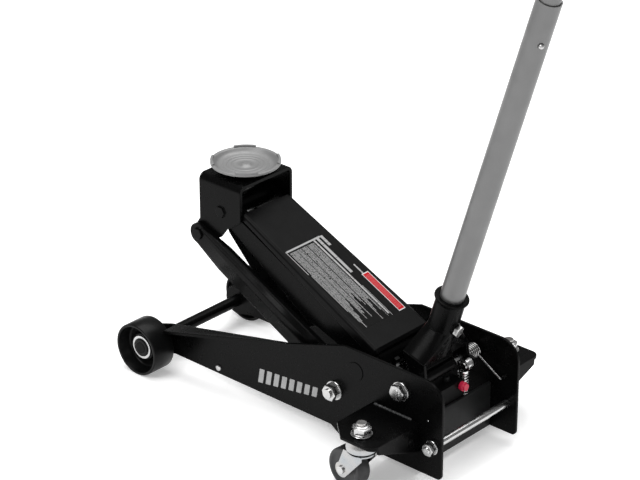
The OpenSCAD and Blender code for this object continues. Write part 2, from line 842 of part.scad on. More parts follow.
// Ram with its slotted head; the ram pin rises and falls in the slot
module ram() {
    head_rear_x = slot_x + ram_head_l / 2;
    slot_h = ram_pin_d + 2 * (slot_lift + pin_slack);
    color("silver") {
        rod_x(head_rear_x - cut, ram_tail_x, 0, ram_z, ram_d);
        rod_x(ram_tail_x - piston_l, ram_tail_x, 0, ram_z, cylinder_bore - 2 * running - 2);
        difference() {
            translate([slot_x - ram_head_l / 2, -ram_head_w / 2, ram_z - 39])
                cube([ram_head_l, ram_head_w, 39 + 22]);
            plate_y(-ram_head_w, ram_head_w) {
                translate([slot_x - ram_pin_d / 2 - pin_slack, ram_z - slot_h / 2 + ram_pin_d / 2])
                    square([ram_pin_d + 2 * pin_slack, slot_h - ram_pin_d]);
                for (s = [-1, 1]) translate([slot_x, ram_z + s * (slot_h - ram_pin_d) / 2])
                    circle(ram_pin_d / 2 + pin_slack);
            }
        }
        rod_y(slot_x, spring_bar_z, 8, -spring_side - 6, spring_side + 6);
    }
}

module ram_seal() {
    color("dimgray") difference() {
        rod_x(ram_tail_x - 5, ram_tail_x - 2, 0, ram_z, cylinder_bore - 2 * running);
        rod_x(ram_tail_x - 6, ram_tail_x, 0, ram_z, cylinder_bore - 2 * running - 2);
    }
}

// Two springs that draw the ram back, shown as the space that their coils fill
module return_springs() {
    color("silver") for (y = [-spring_side, spring_side])
        rod_x(slot_x + 4, anchor_x - 4, y, spring_bar_z, spring_d);
}

module pump_plunger() {
    top = socket_h - roller_r - plunger_gap;
    foot = 62;
    color("silver") translate([plunger_x, plunger_side, 0]) {
        translate([0, 0, foot]) cylinder(d = plunger_d, h = top - foot);
        translate([0, 0, top - 4]) cylinder(d = plunger_d + 4, h = 4);
    }
}

module plunger_spring() {
    top = socket_h - roller_r - plunger_gap - 4;
    color("silver") translate([plunger_x, plunger_side, shelf_top]) difference() {
        cylinder(d = plunger_d + 5, h = top - shelf_top);
        translate([0, 0, -cut]) cylinder(d = plunger_d + 1, h = top);
    }
}

// Release valve: a spindle with a slotted cross head
module release_valve() {
    color("silver") translate([valve_x, 0, 0]) {
        translate([0, 0, block_top - 3]) cylinder(d = 12, h = 9);
        translate([0, 0, block_top + 2]) cylinder(d = 16, h = 5, $fn = 6);
    }
}

module filler_plug() {
    color("firebrick") {
        rod_x(block_rear - 5, block_rear, plug_side, plug_z, 10);
        rod_x(block_rear, block_rear + 7, plug_side, plug_z, 15);
        rod_x(block_rear + 7, block_rear + 11, plug_side, plug_z, 12);
    }
}

// ---- handle socket ------------------------------------------------------------------

module cheek_outline() {
    polygon([[-cheek_r, 0], [cheek_r, 0], [22 - socket_lead, web_high - 2],
             [-socket_lead - 22, web_high - 2]]);
    circle(cheek_r);
}

// Yoke with two cheeks, the tube for the handle and a boss for the set bolt
module handle_socket() {
    r = socket_d / 2;
    neck = 76;
    half = cheek_in + cheek_t - 0.6;
    color("dimgray") in_socket() difference() {
        union() {
            translate([-socket_lead, 0, 0]) rotate_extrude() polygon([
                [0, web_low + 2], [r, web_low + 2], [r, socket_top - 8], [r + 4, socket_top - 3],
                [r + 4, socket_top - 1], [r + 3, socket_top], [0, socket_top]]);
            hull() {
                translate([-socket_lead - 21, -half, web_low]) cube([42, 2 * half, web_high - web_low]);
                translate([-socket_lead, 0, neck - 4]) cylinder(r = r - 1, h = 4, $fn = hull_fn);
            }
            plate_y(-cheek_in - cheek_t, -cheek_in) cheek_outline();
            plate_y(cheek_in, cheek_in + cheek_t) {
                cheek_outline();
                strap([0, 0], [roller_x * lean_dz, roller_x * lean_dx], 10, 9);
            }
            rod_x(-8, 5, 0, set_level, 20);
        }
        translate([-socket_lead, 0, web_low + 6]) cylinder(d = socket_bore, h = socket_top);
        rod_y(0, 0, socket_shaft_d + 2 * running, -cheek_in - cheek_t - cut, cheek_in + cheek_t + cut);
        rod_x(socket_bore / 2 - socket_lead - 3, 40, 0, set_level, 10);
        rod_y(roller_x * lean_dz, roller_x * lean_dx, 8, cheek_in - cut, cheek_in + cheek_t + cut);
    }
}

module socket_shaft() {
    color("silver") {
        rod_y(socket_x, socket_h, socket_shaft_d, -plate_out - 4, plate_out + 4);
        both_sides() {
            difference() {
                rod_y(socket_x, socket_h, 32, plate_out, plate_out + 3);
                rod_y(socket_x, socket_h, socket_shaft_d, plate_out - cut, plate_out + 3 + cut);
            }
            hex_y(socket_x, socket_h, 25, plate_out + 3, plate_out + 13);
        }
    }
}

// Coils round the socket's shaft, shown as the space that they fill
module torsion_springs() {
    color("silver") both_sides() difference() {
        rod_y(socket_x, socket_h, 27, cheek_in + cheek_t + side_gap, plate_in - 5);
        rod_y(socket_x, socket_h, 19, cheek_in, plate_in);
    }
}

// Roller that presses the pump plunger, free on a pin from the far cheek
module pump_roller() {
    color("silver") difference() {
        rod_y(roller_world_x, socket_h, 2 * roller_r, plunger_side - roller_w / 2, plunger_side + roller_w / 2);
        rod_y(roller_world_x, socket_h, 8 + 2 * running, 0, cheek_in);
    }
}

module roller_pin() {
    color("silver") {
        rod_y(roller_world_x, socket_h, 8, plunger_side - roller_w / 2 - 4, cheek_in + cheek_t);
        rod_y(roller_world_x, socket_h, 12, plunger_side - roller_w / 2 - 4, plunger_side - roller_w / 2 - 1);
        rod_y(roller_world_x, socket_h, 12, plunger_side + roller_w / 2 + 1, cheek_in - 1);
    }
}

// Bolt that keeps the handle in the socket; its nose runs in the handle's groove
module set_bolt() {
    nose = handle_d / 2 - groove_depth + 0.4;
    color("silver") in_socket() {
        rod_x(nose - socket_lead, 6, 0, set_level, 10);
        translate([5.5, 0, set_level]) rotate([0, 90, 0]) cylinder(d = 17 / cos(30), h = 7, $fn = 6);
    }
}

// ---- handle -------------------------------------------------------------------------

module handle_lower() {
    r = handle_d / 2;
    color("silver") in_handle() difference() {
        union() {
            translate([0, 0, handle_foot]) cylinder(r = r, h = set_level - groove_w / 2 - handle_foot);
            translate([0, 0, set_level - groove_w / 2]) cylinder(r = r - groove_depth, h = groove_w);
            translate([0, 0, set_level + groove_w / 2]) cylinder(r = r, h = lower_tube_end - set_level - groove_w / 2);
        }
        translate([0, 0, set_level + 20]) cylinder(r = r - tube_wall, h = lower_tube_end);
        rod_x(r - 8, r + cut, 0, button_level, 9);
    }
}

module handle_upper() {
    r = upper_d / 2;
    color("silver") in_handle() difference() {
        translate([0, 0, button_level - 40]) cylinder(r = r, h = handle_end - 6 - button_level + 40);
        translate([0, 0, button_level - 41]) cylinder(r = r - tube_wall, h = handle_end - 20 - button_level + 41);
        rod_x(r - 6, r + cut, 0, button_level, 9);
    }
}

module handle_grip() {
    r = grip_d / 2;
    length = 150;
    color("dimgray") in_handle() difference() {
        union() {
            translate([0, 0, handle_end - length]) cylinder(r = r, h = length - grip_chamfer);
            translate([0, 0, handle_end - grip_chamfer]) cylinder(r1 = r, r2 = r - grip_chamfer, h = grip_chamfer);
        }
        translate([0, 0, handle_end - length - cut]) cylinder(d = upper_d, h = length - 6 + cut);
    }
}

module spring_button() {
    color("silver") in_handle() {
        rod_x(handle_d / 2 - 9, handle_d / 2 + 1, 0, button_level, 8.4);
        rod_x(handle_d / 2 - 9, handle_d / 2 - 7, 0, button_level, 11);
        translate([handle_d / 2 + 1, 0, button_level]) sphere(d = 8.4);
    }
}

side_plate_near();
side_plate_far();
rear_cross_plate();
tie_rod();
tie_rod_nuts();
front_axle();
spacer_tubes();
axle_washers();
axle_caps();
front_wheel_near();
front_wheel_far();
plate_bolts();
caster_wing_near();
caster_wing_far();
caster_races();
caster_fork_near();
caster_fork_far();
caster_nut_near();
caster_nut_far();
caster_axle_near();
caster_axle_far();
caster_wheel_near();
caster_wheel_far();
arm_shaft();
arm_cover();
arm_bars();
arm_panels();
arm_tube();
arm_levers();
ram_pin();
arm_label();
head_pin();
lifting_head();
saddle();
link_near();
link_far();
link_pins();
link_bolts();
link_nuts();
pump_block();
cylinder_sleeve();  // cylinder
reservoir_tube();
tank_cap();
ram();
ram_seal();
return_springs();
pump_plunger();
plunger_spring();
release_valve();
filler_plug();
handle_socket();
socket_shaft();
torsion_springs();
pump_roller();
roller_pin();
set_bolt();
handle_lower();
handle_upper();
handle_grip();
spring_button();
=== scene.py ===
"""Looks of a hydraulic floor jack: its finishes, fine shapes, camera and lights."""

import json
import logging
import math
from collections.abc import Sequence
from dataclasses import dataclass
from enum import Enum

import bpy
from mathutils import Matrix, Vector


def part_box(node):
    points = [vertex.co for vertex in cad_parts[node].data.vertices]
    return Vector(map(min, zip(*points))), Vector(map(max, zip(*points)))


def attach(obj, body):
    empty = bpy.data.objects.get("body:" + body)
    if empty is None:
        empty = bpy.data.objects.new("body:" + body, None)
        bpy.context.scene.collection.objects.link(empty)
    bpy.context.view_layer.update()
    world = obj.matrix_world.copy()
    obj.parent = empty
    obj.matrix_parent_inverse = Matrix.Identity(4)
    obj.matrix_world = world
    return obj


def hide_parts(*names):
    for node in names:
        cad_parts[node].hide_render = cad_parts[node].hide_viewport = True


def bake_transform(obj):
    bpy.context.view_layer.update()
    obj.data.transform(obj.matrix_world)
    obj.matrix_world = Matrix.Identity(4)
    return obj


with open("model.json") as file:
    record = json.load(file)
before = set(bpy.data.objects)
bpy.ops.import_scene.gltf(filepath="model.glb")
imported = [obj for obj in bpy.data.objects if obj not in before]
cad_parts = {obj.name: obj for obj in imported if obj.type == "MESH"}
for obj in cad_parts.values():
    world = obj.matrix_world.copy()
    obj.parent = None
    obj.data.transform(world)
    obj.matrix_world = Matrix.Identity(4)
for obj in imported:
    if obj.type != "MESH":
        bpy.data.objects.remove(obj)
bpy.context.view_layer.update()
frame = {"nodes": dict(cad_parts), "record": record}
LOG = logging.getLogger("floor_jack")
Piece = bpy.types.Object
Material = bpy.types.Material
Socket = bpy.types.NodeSocket
Point = tuple[float, float, float]
Profile = Sequence[tuple[float, float]]


# ---- finishes ------------------------------------------------------------------------


class Sketch:
    """The node tree of one material, with short calls for the nodes that finishes share."""

    def __init__(self, name: str) -> None:
        """Start an empty material.

        Args:
            name: The material's name.
        """
        self.material = bpy.data.materials.new(name)
        self.material.use_nodes = True
        self.tree = self.material.node_tree
        self.shader = self.tree.nodes["Principled BSDF"]
        self.point = self.add("ShaderNodeTexCoord").outputs["Object"]

    def add(self, kind: str, **settings: object) -> bpy.types.Node:
        """Add a node and set its properties.

        Args:
            kind: The node's type name.
            settings: Properties of the node by name.

        Returns:
            The new node.
        """
        node = self.tree.nodes.new(kind)
        for key, value in settings.items():
            setattr(node, key, value)
        return node

    def feed(self, source: object, target: Socket) -> None:
        """Link a socket, or set a plain value.

        Args:
            source: An output socket, a number or a colour.
            target: The input socket.
        """
        if isinstance(source, Socket):
            self.tree.links.new(source, target)
        else:
            target.default_value = source

    def stretched(self, scale: Point) -> Socket:
        """Stretch the object's own coordinates.

        Args:
            scale: Scale along each axis.

        Returns:
            The changed coordinates.
        """
        node = self.add("ShaderNodeMapping")
        self.feed(self.point, node.inputs["Vector"])
        node.inputs["Scale"].default_value = scale
        return node.outputs["Vector"]

    def noise(self, scale: float, detail: float, at: Socket | None = None) -> Socket:
        """Add soft noise.

        Args:
            scale: Cells per metre.
            detail: Octaves of detail.
            at: Coordinates, or None for the object's own.

        Returns:
            The noise value.
        """
        node = self.add("ShaderNodeTexNoise")
        self.feed(self.point if at is None else at, node.inputs["Vector"])
        node.inputs["Scale"].default_value = scale
        node.inputs["Detail"].default_value = detail
        return node.outputs["Fac"]

    def cells(self, scale: float) -> Socket:
        """Add cells with sharp borders.

        Args:
            scale: Cells per metre.

        Returns:
            The distance to the nearest cell centre.
        """
        node = self.add("ShaderNodeTexVoronoi")
        self.feed(self.point, node.inputs["Vector"])
        node.inputs["Scale"].default_value = scale
        return node.outputs["Distance"]

    def spread(self, value: Socket, low: float, high: float, to_low: float = 0, to_high: float = 1) -> Socket:
        """Map a range of values to another range.

        Args:
            value: The incoming value.
            low: Lower end of the incoming range.
            high: Upper end of the incoming range.
            to_low: Value at the lower end.
            to_high: Value at the upper end.

        Returns:
            The mapped value.
        """
        node = self.add("ShaderNodeMapRange")
        self.feed(value, node.inputs["Value"])
        ends = {"From Min": low, "From Max": high, "To Min": to_low, "To Max": to_high}
        for key, number in ends.items():
            node.inputs[key].default_value = number
        return node.outputs["Result"]

    def blend(self, factor: object, first: object, second: object) -> Socket:
        """Mix two colours.

        Args:
            factor: Share of the second colour.
            first: Colour or socket at 0.
            second: Colour or socket at 1.

        Returns:
            The mixed colour.
        """
        node = self.add("ShaderNodeMix", data_type="RGBA")
        self.feed(factor, node.inputs["Factor"])
        self.feed(first, node.inputs["A"])
        self.feed(second, node.inputs["B"])
        return node.outputs["Result"]

    def sum(self, how: str, first: object, second: object = 0.0) -> Socket:
        """Combine two values.

        Args:
            how: The operation of the Math node.
            first: First value or socket.
            second: Second value or socket.

        Returns:
            The result.
        """
        node = self.add("ShaderNodeMath", operation=how)
        self.feed(first, node.inputs[0])
        self.feed(second, node.inputs[1])
        return node.outputs[0]

    def relief(self, height: Socket, depth: float, strength: float) -> None:
        """Press a height pattern into the surface.

        Args:
            height: The pattern.
            depth: Depth in metres.
            strength: Share of the effect.
        """
        node = self.add("ShaderNodeBump")
        node.inputs["Strength"].default_value = strength
        node.inputs["Distance"].default_value = depth
        self.feed(height, node.inputs["Height"])
        previous = self.shader.inputs["Normal"].links
        if previous:
            self.feed(previous[0].from_socket, node.inputs["Normal"])
        self.feed(node.outputs["Normal"], self.shader.inputs["Normal"])

    def set(self, **values: object) -> None:
        """Set or link the shader's sockets by name, with _ for a space.

        Args:
            values: Socket values or sources.
        """
        for key, value in values.items():
            self.feed(value, self.shader.inputs[key.replace("_", " ")])


def grey(value: float, warm: float = 0.0) -> tuple[float, float, float, float]:
    """Give a grey, a little warmer or colder.

    Args:
        value: Brightness.
        warm: Share by which red rises and blue falls.

    Returns:
        The colour.
    """
    return (value * (1 + warm), value, value * (1 - warm), 1.0)


@dataclass(frozen=True)
class Paint:
    """Sprayed paint on steel, with the soft ripple of a spray coat and a little dust."""

    name: str
    shade: float
    roughness: float
    gloss: float = 0.2
    ripple: float = 0.00003
    dust: float = 0.012

    def build(self) -> Material:
        """Make the material.

        Returns:
            The material.
        """
        s = Sketch(self.name)
        clouds = s.noise(14, 4)
        specks = s.spread(s.noise(900, 2), 0.62, 0.74)
        dull, bright = grey(self.shade * 0.8, -0.03), grey(self.shade * 1.25, -0.02)
        film = s.blend(s.spread(clouds, 0.35, 0.75), dull, bright)
        dusty = s.blend(s.sum("MULTIPLY", specks, self.dust * 4), film, grey(0.12, 0.05))
        worn = s.spread(s.noise(55, 6), 0.3, 0.8, self.roughness * 0.85, self.roughness * 1.25)
        s.set(Base_Color=dusty, Roughness=worn, Specular_IOR_Level=self.gloss)
        s.set(Coat_Weight=0.015, Coat_Roughness=0.2)
        s.relief(s.noise(420, 2), self.ripple, 0.5)
        s.relief(s.noise(60, 2), self.ripple * 4, 0.15)
        return s.material


@dataclass(frozen=True)
class Plated:
    """Zinc or nickel plate, or ground steel, with fine streaks."""

    name: str
    shade: float
    roughness: float
    tint: float = -0.02
    streak: Point = (260.0, 260.0, 260.0)
    depth: float = 0.00002

    def build(self) -> Material:
        """Make the material.

        Returns:
            The material.
        """
        s = Sketch(self.name)
        fine = s.noise(1.0, 4, s.stretched(self.streak))
        broad = s.noise(35, 3)
        dull, bright = grey(self.shade * 0.86, self.tint), grey(self.shade, -self.tint)
        colour = s.blend(s.spread(broad, 0.3, 0.7), dull, bright)
        brushed = s.spread(fine, 0.25, 0.75, self.roughness * 0.7, self.roughness * 1.4)
        s.set(Base_Color=colour, Metallic=1.0, Roughness=brushed)
        s.relief(fine, self.depth, 0.6)
        return s.material


@dataclass(frozen=True)
class Enamel:
    """Metallic grey enamel of the handle and the saddle."""

    name: str
    shade: float
    metal: float
    roughness: float
    grain: float = 0.00004

    def build(self) -> Material:
        """Make the material.

        Returns:
            The material.
        """
        s = Sketch(self.name)
        flakes = s.spread(s.cells(2600), 0.1, 0.5)
        clouds = s.noise(9, 4)
        base = s.blend(s.spread(clouds, 0.3, 0.7), grey(self.shade * 0.93), grey(self.shade * 1.06))
        colour = s.blend(s.sum("MULTIPLY", flakes, 0.18), base, grey(self.shade * 1.5))
        worn = s.spread(s.noise(40, 5), 0.3, 0.7, self.roughness * 0.88, self.roughness * 1.2)
        s.set(Base_Color=colour, Metallic=self.metal, Roughness=worn)
        s.relief(s.noise(700, 2), self.grain, 0.5)
        return s.material


@dataclass(frozen=True)
class Moulded:
    """Moulded plastic or rubber."""

    name: str
    colour: tuple[float, float, float]
    roughness: float
    grain: float = 0.00008

    def build(self) -> Material:
        """Make the material.

        Returns:
            The material.
        """
        s = Sketch(self.name)
        clouds = s.spread(s.noise(30, 4), 0.3, 0.7)
        dark = tuple(c * 0.82 for c in self.colour) + (1.0,)
        light = tuple(c * 1.15 for c in self.colour) + (1.0,)
        worn = s.spread(s.noise(120, 4), 0.3, 0.7, self.roughness * 0.9, self.roughness * 1.15)
        s.set(Base_Color=s.blend(clouds, dark, light), Roughness=worn)
        s.relief(s.noise(1100, 3), self.grain, 0.6)
        return s.material


@dataclass(frozen=True)
class Label:
    """Dark printed film with rows of fine pale dashes, a pale border line and a red panel.

    The pattern is drawn on the piece's own UV map, u along the arm and v across it.
    """

    name: str = "label_film"
    rows: float = 44.0
    row_jump: float = 7.31
    end_jump: float = 3.17

    def build(self) -> Material:
        """Make the material.

        Returns:
            The material.
        """
        s = Sketch(self.name)
        uv = s.add("ShaderNodeUVMap", uv_map="label").outputs["UV"]
        split = s.add("ShaderNodeSeparateXYZ")
        s.feed(uv, split.inputs[0])
        u, v = split.outputs[0], split.outputs[1]

        def within(value: Socket, low: float, high: float) -> Socket:
            """Give 1 where the value lies between two limits."""
            return s.sum("MULTIPLY", s.sum("GREATER_THAN", value, low), s.sum("LESS_THAN", value, high))

        def box(u0: float, u1: float, v0: float, v1: float) -> Socket:
            """Give 1 inside a rectangle."""
            return s.sum("MULTIPLY", within(u, u0, u1), within(v, v0, v1))

        def any_of(parts: Sequence[Socket]) -> Socket:
            """Give 1 where any part is 1."""
            total = parts[0]
            for part in parts[1:]:
                total = s.sum("MAXIMUM", total, part)
            return total

        def strokes(along: Socket, across: Socket, rate: float, cut: float) -> Socket:
            """Give marks that run along a row and differ from row to row."""
            joint = s.add("ShaderNodeCombineXYZ")
            s.feed(s.sum("MULTIPLY", along, rate), joint.inputs[0])
            s.feed(s.sum("MULTIPLY", s.sum("FLOOR", across), self.row_jump), joint.inputs[1])
            return s.sum("GREATER_THAN", s.noise(1.0, 1.0, joint.outputs[0]), cut)

        row = s.sum("MULTIPLY", v, self.rows)
        ink_row = within(s.sum("FRACT", row), 0.2, 0.74)
        letters = strokes(u, row, 260.0, 0.41)
        ragged = s.add("ShaderNodeCombineXYZ")
        s.feed(s.sum("MULTIPLY", s.sum("FLOOR", row), self.end_jump), ragged.inputs[1])
        ends = s.spread(s.noise(1.0, 0.0, ragged.outputs[0]), 0.3, 0.7, 0.6, 0.99)
        text = s.sum("MULTIPLY", s.sum("MULTIPLY", ink_row, letters), s.sum("LESS_THAN", u, ends))
        gaps = any_of([box(0.0, 1.0, 0.195, 0.212), box(0.0, 1.0, 0.305, 0.322),
                       box(0.0, 0.32, 0.0, 0.03), box(0.0, 1.0, 0.44, 0.455)])
        field = s.sum("MULTIPLY", text, box(0.035, 0.99, 0.045, 0.6))
        body = s.sum("MULTIPLY", field, s.sum("SUBTRACT", 1.0, gaps))
        bold = strokes(u, v, 110.0, 0.36)
        titles = any_of([box(0.02, 0.97, 0.625, 0.66), box(0.01, 0.46, 0.7, 0.755),
                         box(0.005, 0.13, 0.8, 0.855), box(0.4, 0.52, 0.87, 0.9)])
        heads = s.sum("MULTIPLY", bold, titles)
        front = s.sum("MULTIPLY", strokes(v, u, 90.0, 0.33), box(0.0, 0.018, 0.02, 0.8))
        rules = any_of([box(0.0, 0.3, 0.0, 0.013), box(0.32, 0.78, 0.03, 0.04), box(0.62, 1.0, 0.672, 0.68)])
        ink = any_of([body, heads, front, rules])
        film = s.blend(ink, grey(0.002), grey(0.34))
        panel = s.blend(box(0.52, 1.0, 0.845, 0.995), film, grey(0.55))
        thin_rows = within(s.sum("FRACT", s.sum("MULTIPLY", v, 52.0)), 0.3, 0.6)
        marks = s.sum("MULTIPLY", s.sum("MULTIPLY", bold, thin_rows), box(0.55, 0.97, 0.87, 0.97))
        red = s.blend(s.sum("MULTIPLY", marks, 0.3), (0.42, 0.004, 0.01, 1.0), grey(0.45))
        colour = s.blend(box(0.53, 0.99, 0.857, 0.983), panel, red)
        worn = s.spread(s.noise(60, 3), 0.3, 0.7, 0.4, 0.52)
        s.set(Base_Color=colour, Roughness=worn, Specular_IOR_Level=0.07)
        s.relief(s.noise(240, 2), 0.00003, 0.4)
        return s.material


class Finish(Enum):
    """Every finish of the jack."""

    BLACK = Paint("black_gloss_paint", 0.0016, 0.28, 0.055)
    SATIN = Paint("black_satin_paint", 0.002, 0.38, 0.06)
    PANEL = Paint("grey_panel_paint", 0.011, 0.4, 0.1)
    WHEEL = Paint("wheel_paint", 0.003, 0.34, 0.12)
    # Weld beads: the light grey is a painted highlight along the bead, not the black paint's own colour.
    WELD = Paint("weld_painted_highlight", 0.035, 0.34, 0.5, 0.0001)
    ZINC = Plated("zinc_plate", 0.52, 0.24, -0.01, (90.0, 90.0, 90.0), 0.00001)
    FORK = Plated("bright_zinc_plate", 0.42, 0.22, -0.05, (60.0, 60.0, 300.0), 0.00001)
    GROUND = Plated("ground_steel", 0.66, 0.16, 0.0, (900.0, 40.0, 900.0))
    SPRING = Plated("spring_steel", 0.42, 0.2, -0.01, (120.0, 120.0, 120.0), 0.00001)
    HANDLE = Enamel("handle_enamel", 0.15, 0.75, 0.36)
    SADDLE = Enamel("saddle_enamel", 0.2, 0.3, 0.46, 0.00008)
    TREAD = Moulded("caster_tread", (0.014, 0.014, 0.015), 0.48)
    GRIP = Moulded("grip_rubber", (0.012, 0.012, 0.013), 0.6, 0.0002)
    SEAL = Moulded("seal_rubber", (0.015, 0.015, 0.015), 0.5)
    PLUG = Moulded("red_plastic", (0.5, 0.012, 0.05), 0.35)
    DECAL = Moulded("pale_print", (0.3, 0.3, 0.3), 0.45, 0.00002)
    LABEL = Label()


MADE: dict[Finish, Material] = {}


def material(finish: Finish) -> Material:
    """Give a finish's material, made once.

    Args:
        finish: The finish.

    Returns:
        The material.
    """
    if finish not in MADE:
        MADE[finish] = finish.value.build()
    return MADE[finish]


# ---- tools ---------------------------------------------------------------------------


def clear_selection() -> None:
    """Leave edit mode and deselect everything."""
    if bpy.context.object and bpy.context.object.mode != "OBJECT":
        bpy.ops.object.mode_set(mode="OBJECT")
    bpy.ops.object.select_all(action="DESELECT")


def take_up(piece: Piece) -> None:
    """Select one piece and make it active."""
    clear_selection()
    piece.select_set(True)
    bpy.context.view_layer.objects.active = piece


def rounded(piece: Piece, width: float, angle: float = 30.0, clamp: bool = True) -> None:
    """Round a piece's sharp edges.

    Args:
        piece: The piece.
        width: Width of the rounding in metres.
        angle: Edges sharper than this many degrees are rounded.
        clamp: Whether the width is held back where edges are short.
    """
    take_up(piece)
    bevel = piece.modifiers.new("edge", "BEVEL")
    bevel.width = width
    bevel.segments = 2
    bevel.limit_method = "ANGLE"
    bevel.angle_limit = math.radians(angle)
    bevel.use_clamp_overlap = clamp
    bpy.ops.object.modifier_apply(modifier=bevel.name)


def smoothed(piece: Piece, angle: float = 35.0, flats: bool = False) -> None:
    """Shade a piece smooth except over sharp edges.

    Args:
        piece: The piece.
        angle: Edges sharper than this many degrees stay sharp.
        flats: Whether large flat faces keep their own shading beside a rounding.
    """
    take_up(piece)
    bpy.ops.object.shade_smooth_by_angle(angle=math.radians(angle))
    if flats:
        weigh = piece.modifiers.new("flats", "WEIGHTED_NORMAL")
        weigh.weight = 100
        weigh.keep_sharp = True
        bpy.ops.object.modifier_apply(modifier=weigh.name)


def coated(piece: Piece, finish: Finish) -> Piece:
    """Give a piece one finish and return it."""
    piece.data.materials.clear()
    piece.data.materials.append(material(finish))
    return piece


def outward() -> None:
    """In edit mode, merge doubled points and turn every face outwards."""
    bpy.ops.mesh.select_all(action="SELECT")
    bpy.ops.mesh.remove_doubles(threshold=0.000004)
    bpy.ops.mesh.normals_make_consistent(inside=False)


def close_ends() -> None:
    """In edit mode, merge doubled points, fill open ends and turn every face outwards."""
    bpy.ops.mesh.select_all(action="SELECT")
    bpy.ops.mesh.remove_doubles(threshold=0.000004)
    bpy.ops.mesh.fill_holes(sides=0)
    outward()


def turned(name: str, profile: Profile, steps: int = 96, closed: bool = False) -> Piece:
    """Turn a profile once round the Z axis, as on a lathe.

    Args:
        name: The piece's name.
        profile: Points as radius and height, in metres.
        steps: Facets round the piece.
        closed: Whether the last point joins the first, as for a ring.

    Returns:
        The piece.
    """
    clear_selection()
    bpy.ops.mesh.primitive_plane_add(size=0.002)
    piece = bpy.context.object
    piece.name = name
    points = list(profile) + ([profile[0]] if closed else [])
    bpy.ops.object.mode_set(mode="EDIT")
    bpy.ops.mesh.select_all(action="SELECT")
    bpy.ops.mesh.merge(type="CENTER")
    bpy.ops.transform.translate(value=(points[0][0], 0, points[0][1]))
    for (r0, z0), (r1, z1) in zip(points, points[1:]):
        bpy.ops.mesh.extrude_vertices_move(TRANSFORM_OT_translate={"value": (r1 - r0, 0, z1 - z0)})
    bpy.ops.mesh.select_all(action="SELECT")
    bpy.ops.mesh.spin(steps=steps, angle=2 * math.pi, center=(0, 0, 0), axis=(0, 0, 1))
    outward()
    bpy.ops.object.mode_set(mode="OBJECT")
    smoothed(piece, 38)
    return piece


def rod_between(name: str, start: Vector, end: Vector, radius: float) -> Piece:
    """Make a round wire from one point to another, with rounded ends.

    Args:
        name: The piece's name.
        start: One end.
        end: The other end.
        radius: Radius of the wire.

    Returns:
        The wire.
    """
    along = end - start
    flat, soft, length = radius * 0.7, radius * 0.3, along.length
    wire = turned(name, [(0, 0), (flat, 0), (radius, soft), (radius, length - soft), (flat, length),
                         (0, length)], 16)
    return placed(wire, towards(start, along))


def placed(piece: Piece, matrix: Matrix) -> Piece:
    """Put a piece in its place and keep that place in its mesh.

    Args:
        piece: The piece.
        matrix: Its place in the jack's frame.

    Returns:
        The piece.
    """
    take_up(piece)
    piece.matrix_world = matrix @ piece.matrix_world
    bpy.ops.object.transform_apply(location=True, rotation=True, scale=True)
    return piece


def copied(piece: Piece, name: str) -> Piece:
    """Copy a piece with its own mesh.

    Args:
        piece: The pattern.
        name: The copy's name.

    Returns:
        The copy.
    """
    twin = piece.copy()
    twin.data = piece.data.copy()
    twin.name = name
    bpy.context.scene.collection.objects.link(twin)
    return twin


def joined(name: str, pieces: Sequence[Piece]) -> Piece:
    """Join several meshes into one piece.

    Args:
        name: The piece's name.
        pieces: The meshes.

    Returns:
        The joined piece.
    """
    clear_selection()
    for piece in pieces:
        piece.select_set(True)
    bpy.context.view_layer.objects.active = pieces[0]
    if len(pieces) > 1:
        bpy.ops.object.join()
    pieces[0].name = name
    return pieces[0]


def at(origin: Point | Vector, turn: float) -> Matrix:
    """Give a place turned about Y.

    Args:
        origin: The place's origin.
        turn: Turn about Y in degrees.

    Returns:
        The place.
    """
    return Matrix.Translation(origin) @ Matrix.Rotation(math.radians(turn), 4, "Y")


def towards(origin: Point | Vector, direction: Vector) -> Matrix:
    """Give a place whose Z points in a direction.

    Args:
        origin: The place's origin.
        direction: The direction.

    Returns:
        The place.
    """
    return Matrix.Translation(origin) @ direction.to_track_quat("Z", "Y").to_matrix().to_4x4()


def along_y(origin: Point | Vector, side: int = 1) -> Matrix:
    """Give a place whose Z points along +Y or -Y.

    Args:
        origin: The place's origin.
        side: 1 for +Y, -1 for -Y.

    Returns:
        The place.
    """
    return Matrix.Translation(origin) @ Matrix.Rotation(math.radians(-90 * side), 4, "X")


def along_x(origin: Point | Vector) -> Matrix:
    """Give a place whose Z points along +X."""
    return Matrix.Translation(origin) @ Matrix.Rotation(math.radians(90), 4, "Y")


def body_of(node: str) -> str:
    """Name the body that a CAD node rides on."""
    for body, nodes in frame["record"]["behaviour"]["bodies"].items():
        if node in nodes:
            return body
    raise KeyError(node)


def joint(name: str) -> dict:
    """Give a joint's record."""
    for item in frame["record"]["behaviour"]["joints"]:
        if item["name"] == name:
            return item
    raise KeyError(name)


def pivot(name: str) -> Vector:
    """Give a joint's place."""
    return Vector(joint(name)["pos_m"])


def sheet(name: str, size: Point, middle: Point, corner: float, segments: int) -> Piece:
    """Make a thin flat sheet with rounded corners.

    Args:
        name: The piece's name.
        size: Length, width and thickness.
        middle: Middle of its lower face.
        corner: Size of the rounded corners.
        segments: Facets in a corner.

    Returns:
        The sheet.
    """
    clear_selection()
    bpy.ops.mesh.primitive_plane_add(size=1)
    piece = bpy.context.object
    piece.name = name
    piece.scale = (size[0], size[1], 1)
    piece.location = middle
    bpy.ops.object.transform_apply(location=True, rotation=True, scale=True)
    bpy.ops.object.mode_set(mode="EDIT")
    bpy.ops.mesh.select_all(action="SELECT")
    bpy.ops.mesh.bevel(offset=corner, segments=segments, affect="VERTICES")
    bpy.ops.mesh.extrude_region_move(TRANSFORM_OT_translate={"value": (0, 0, size[2])})
    outward()
    bpy.ops.object.mode_set(mode="OBJECT")
    return piece


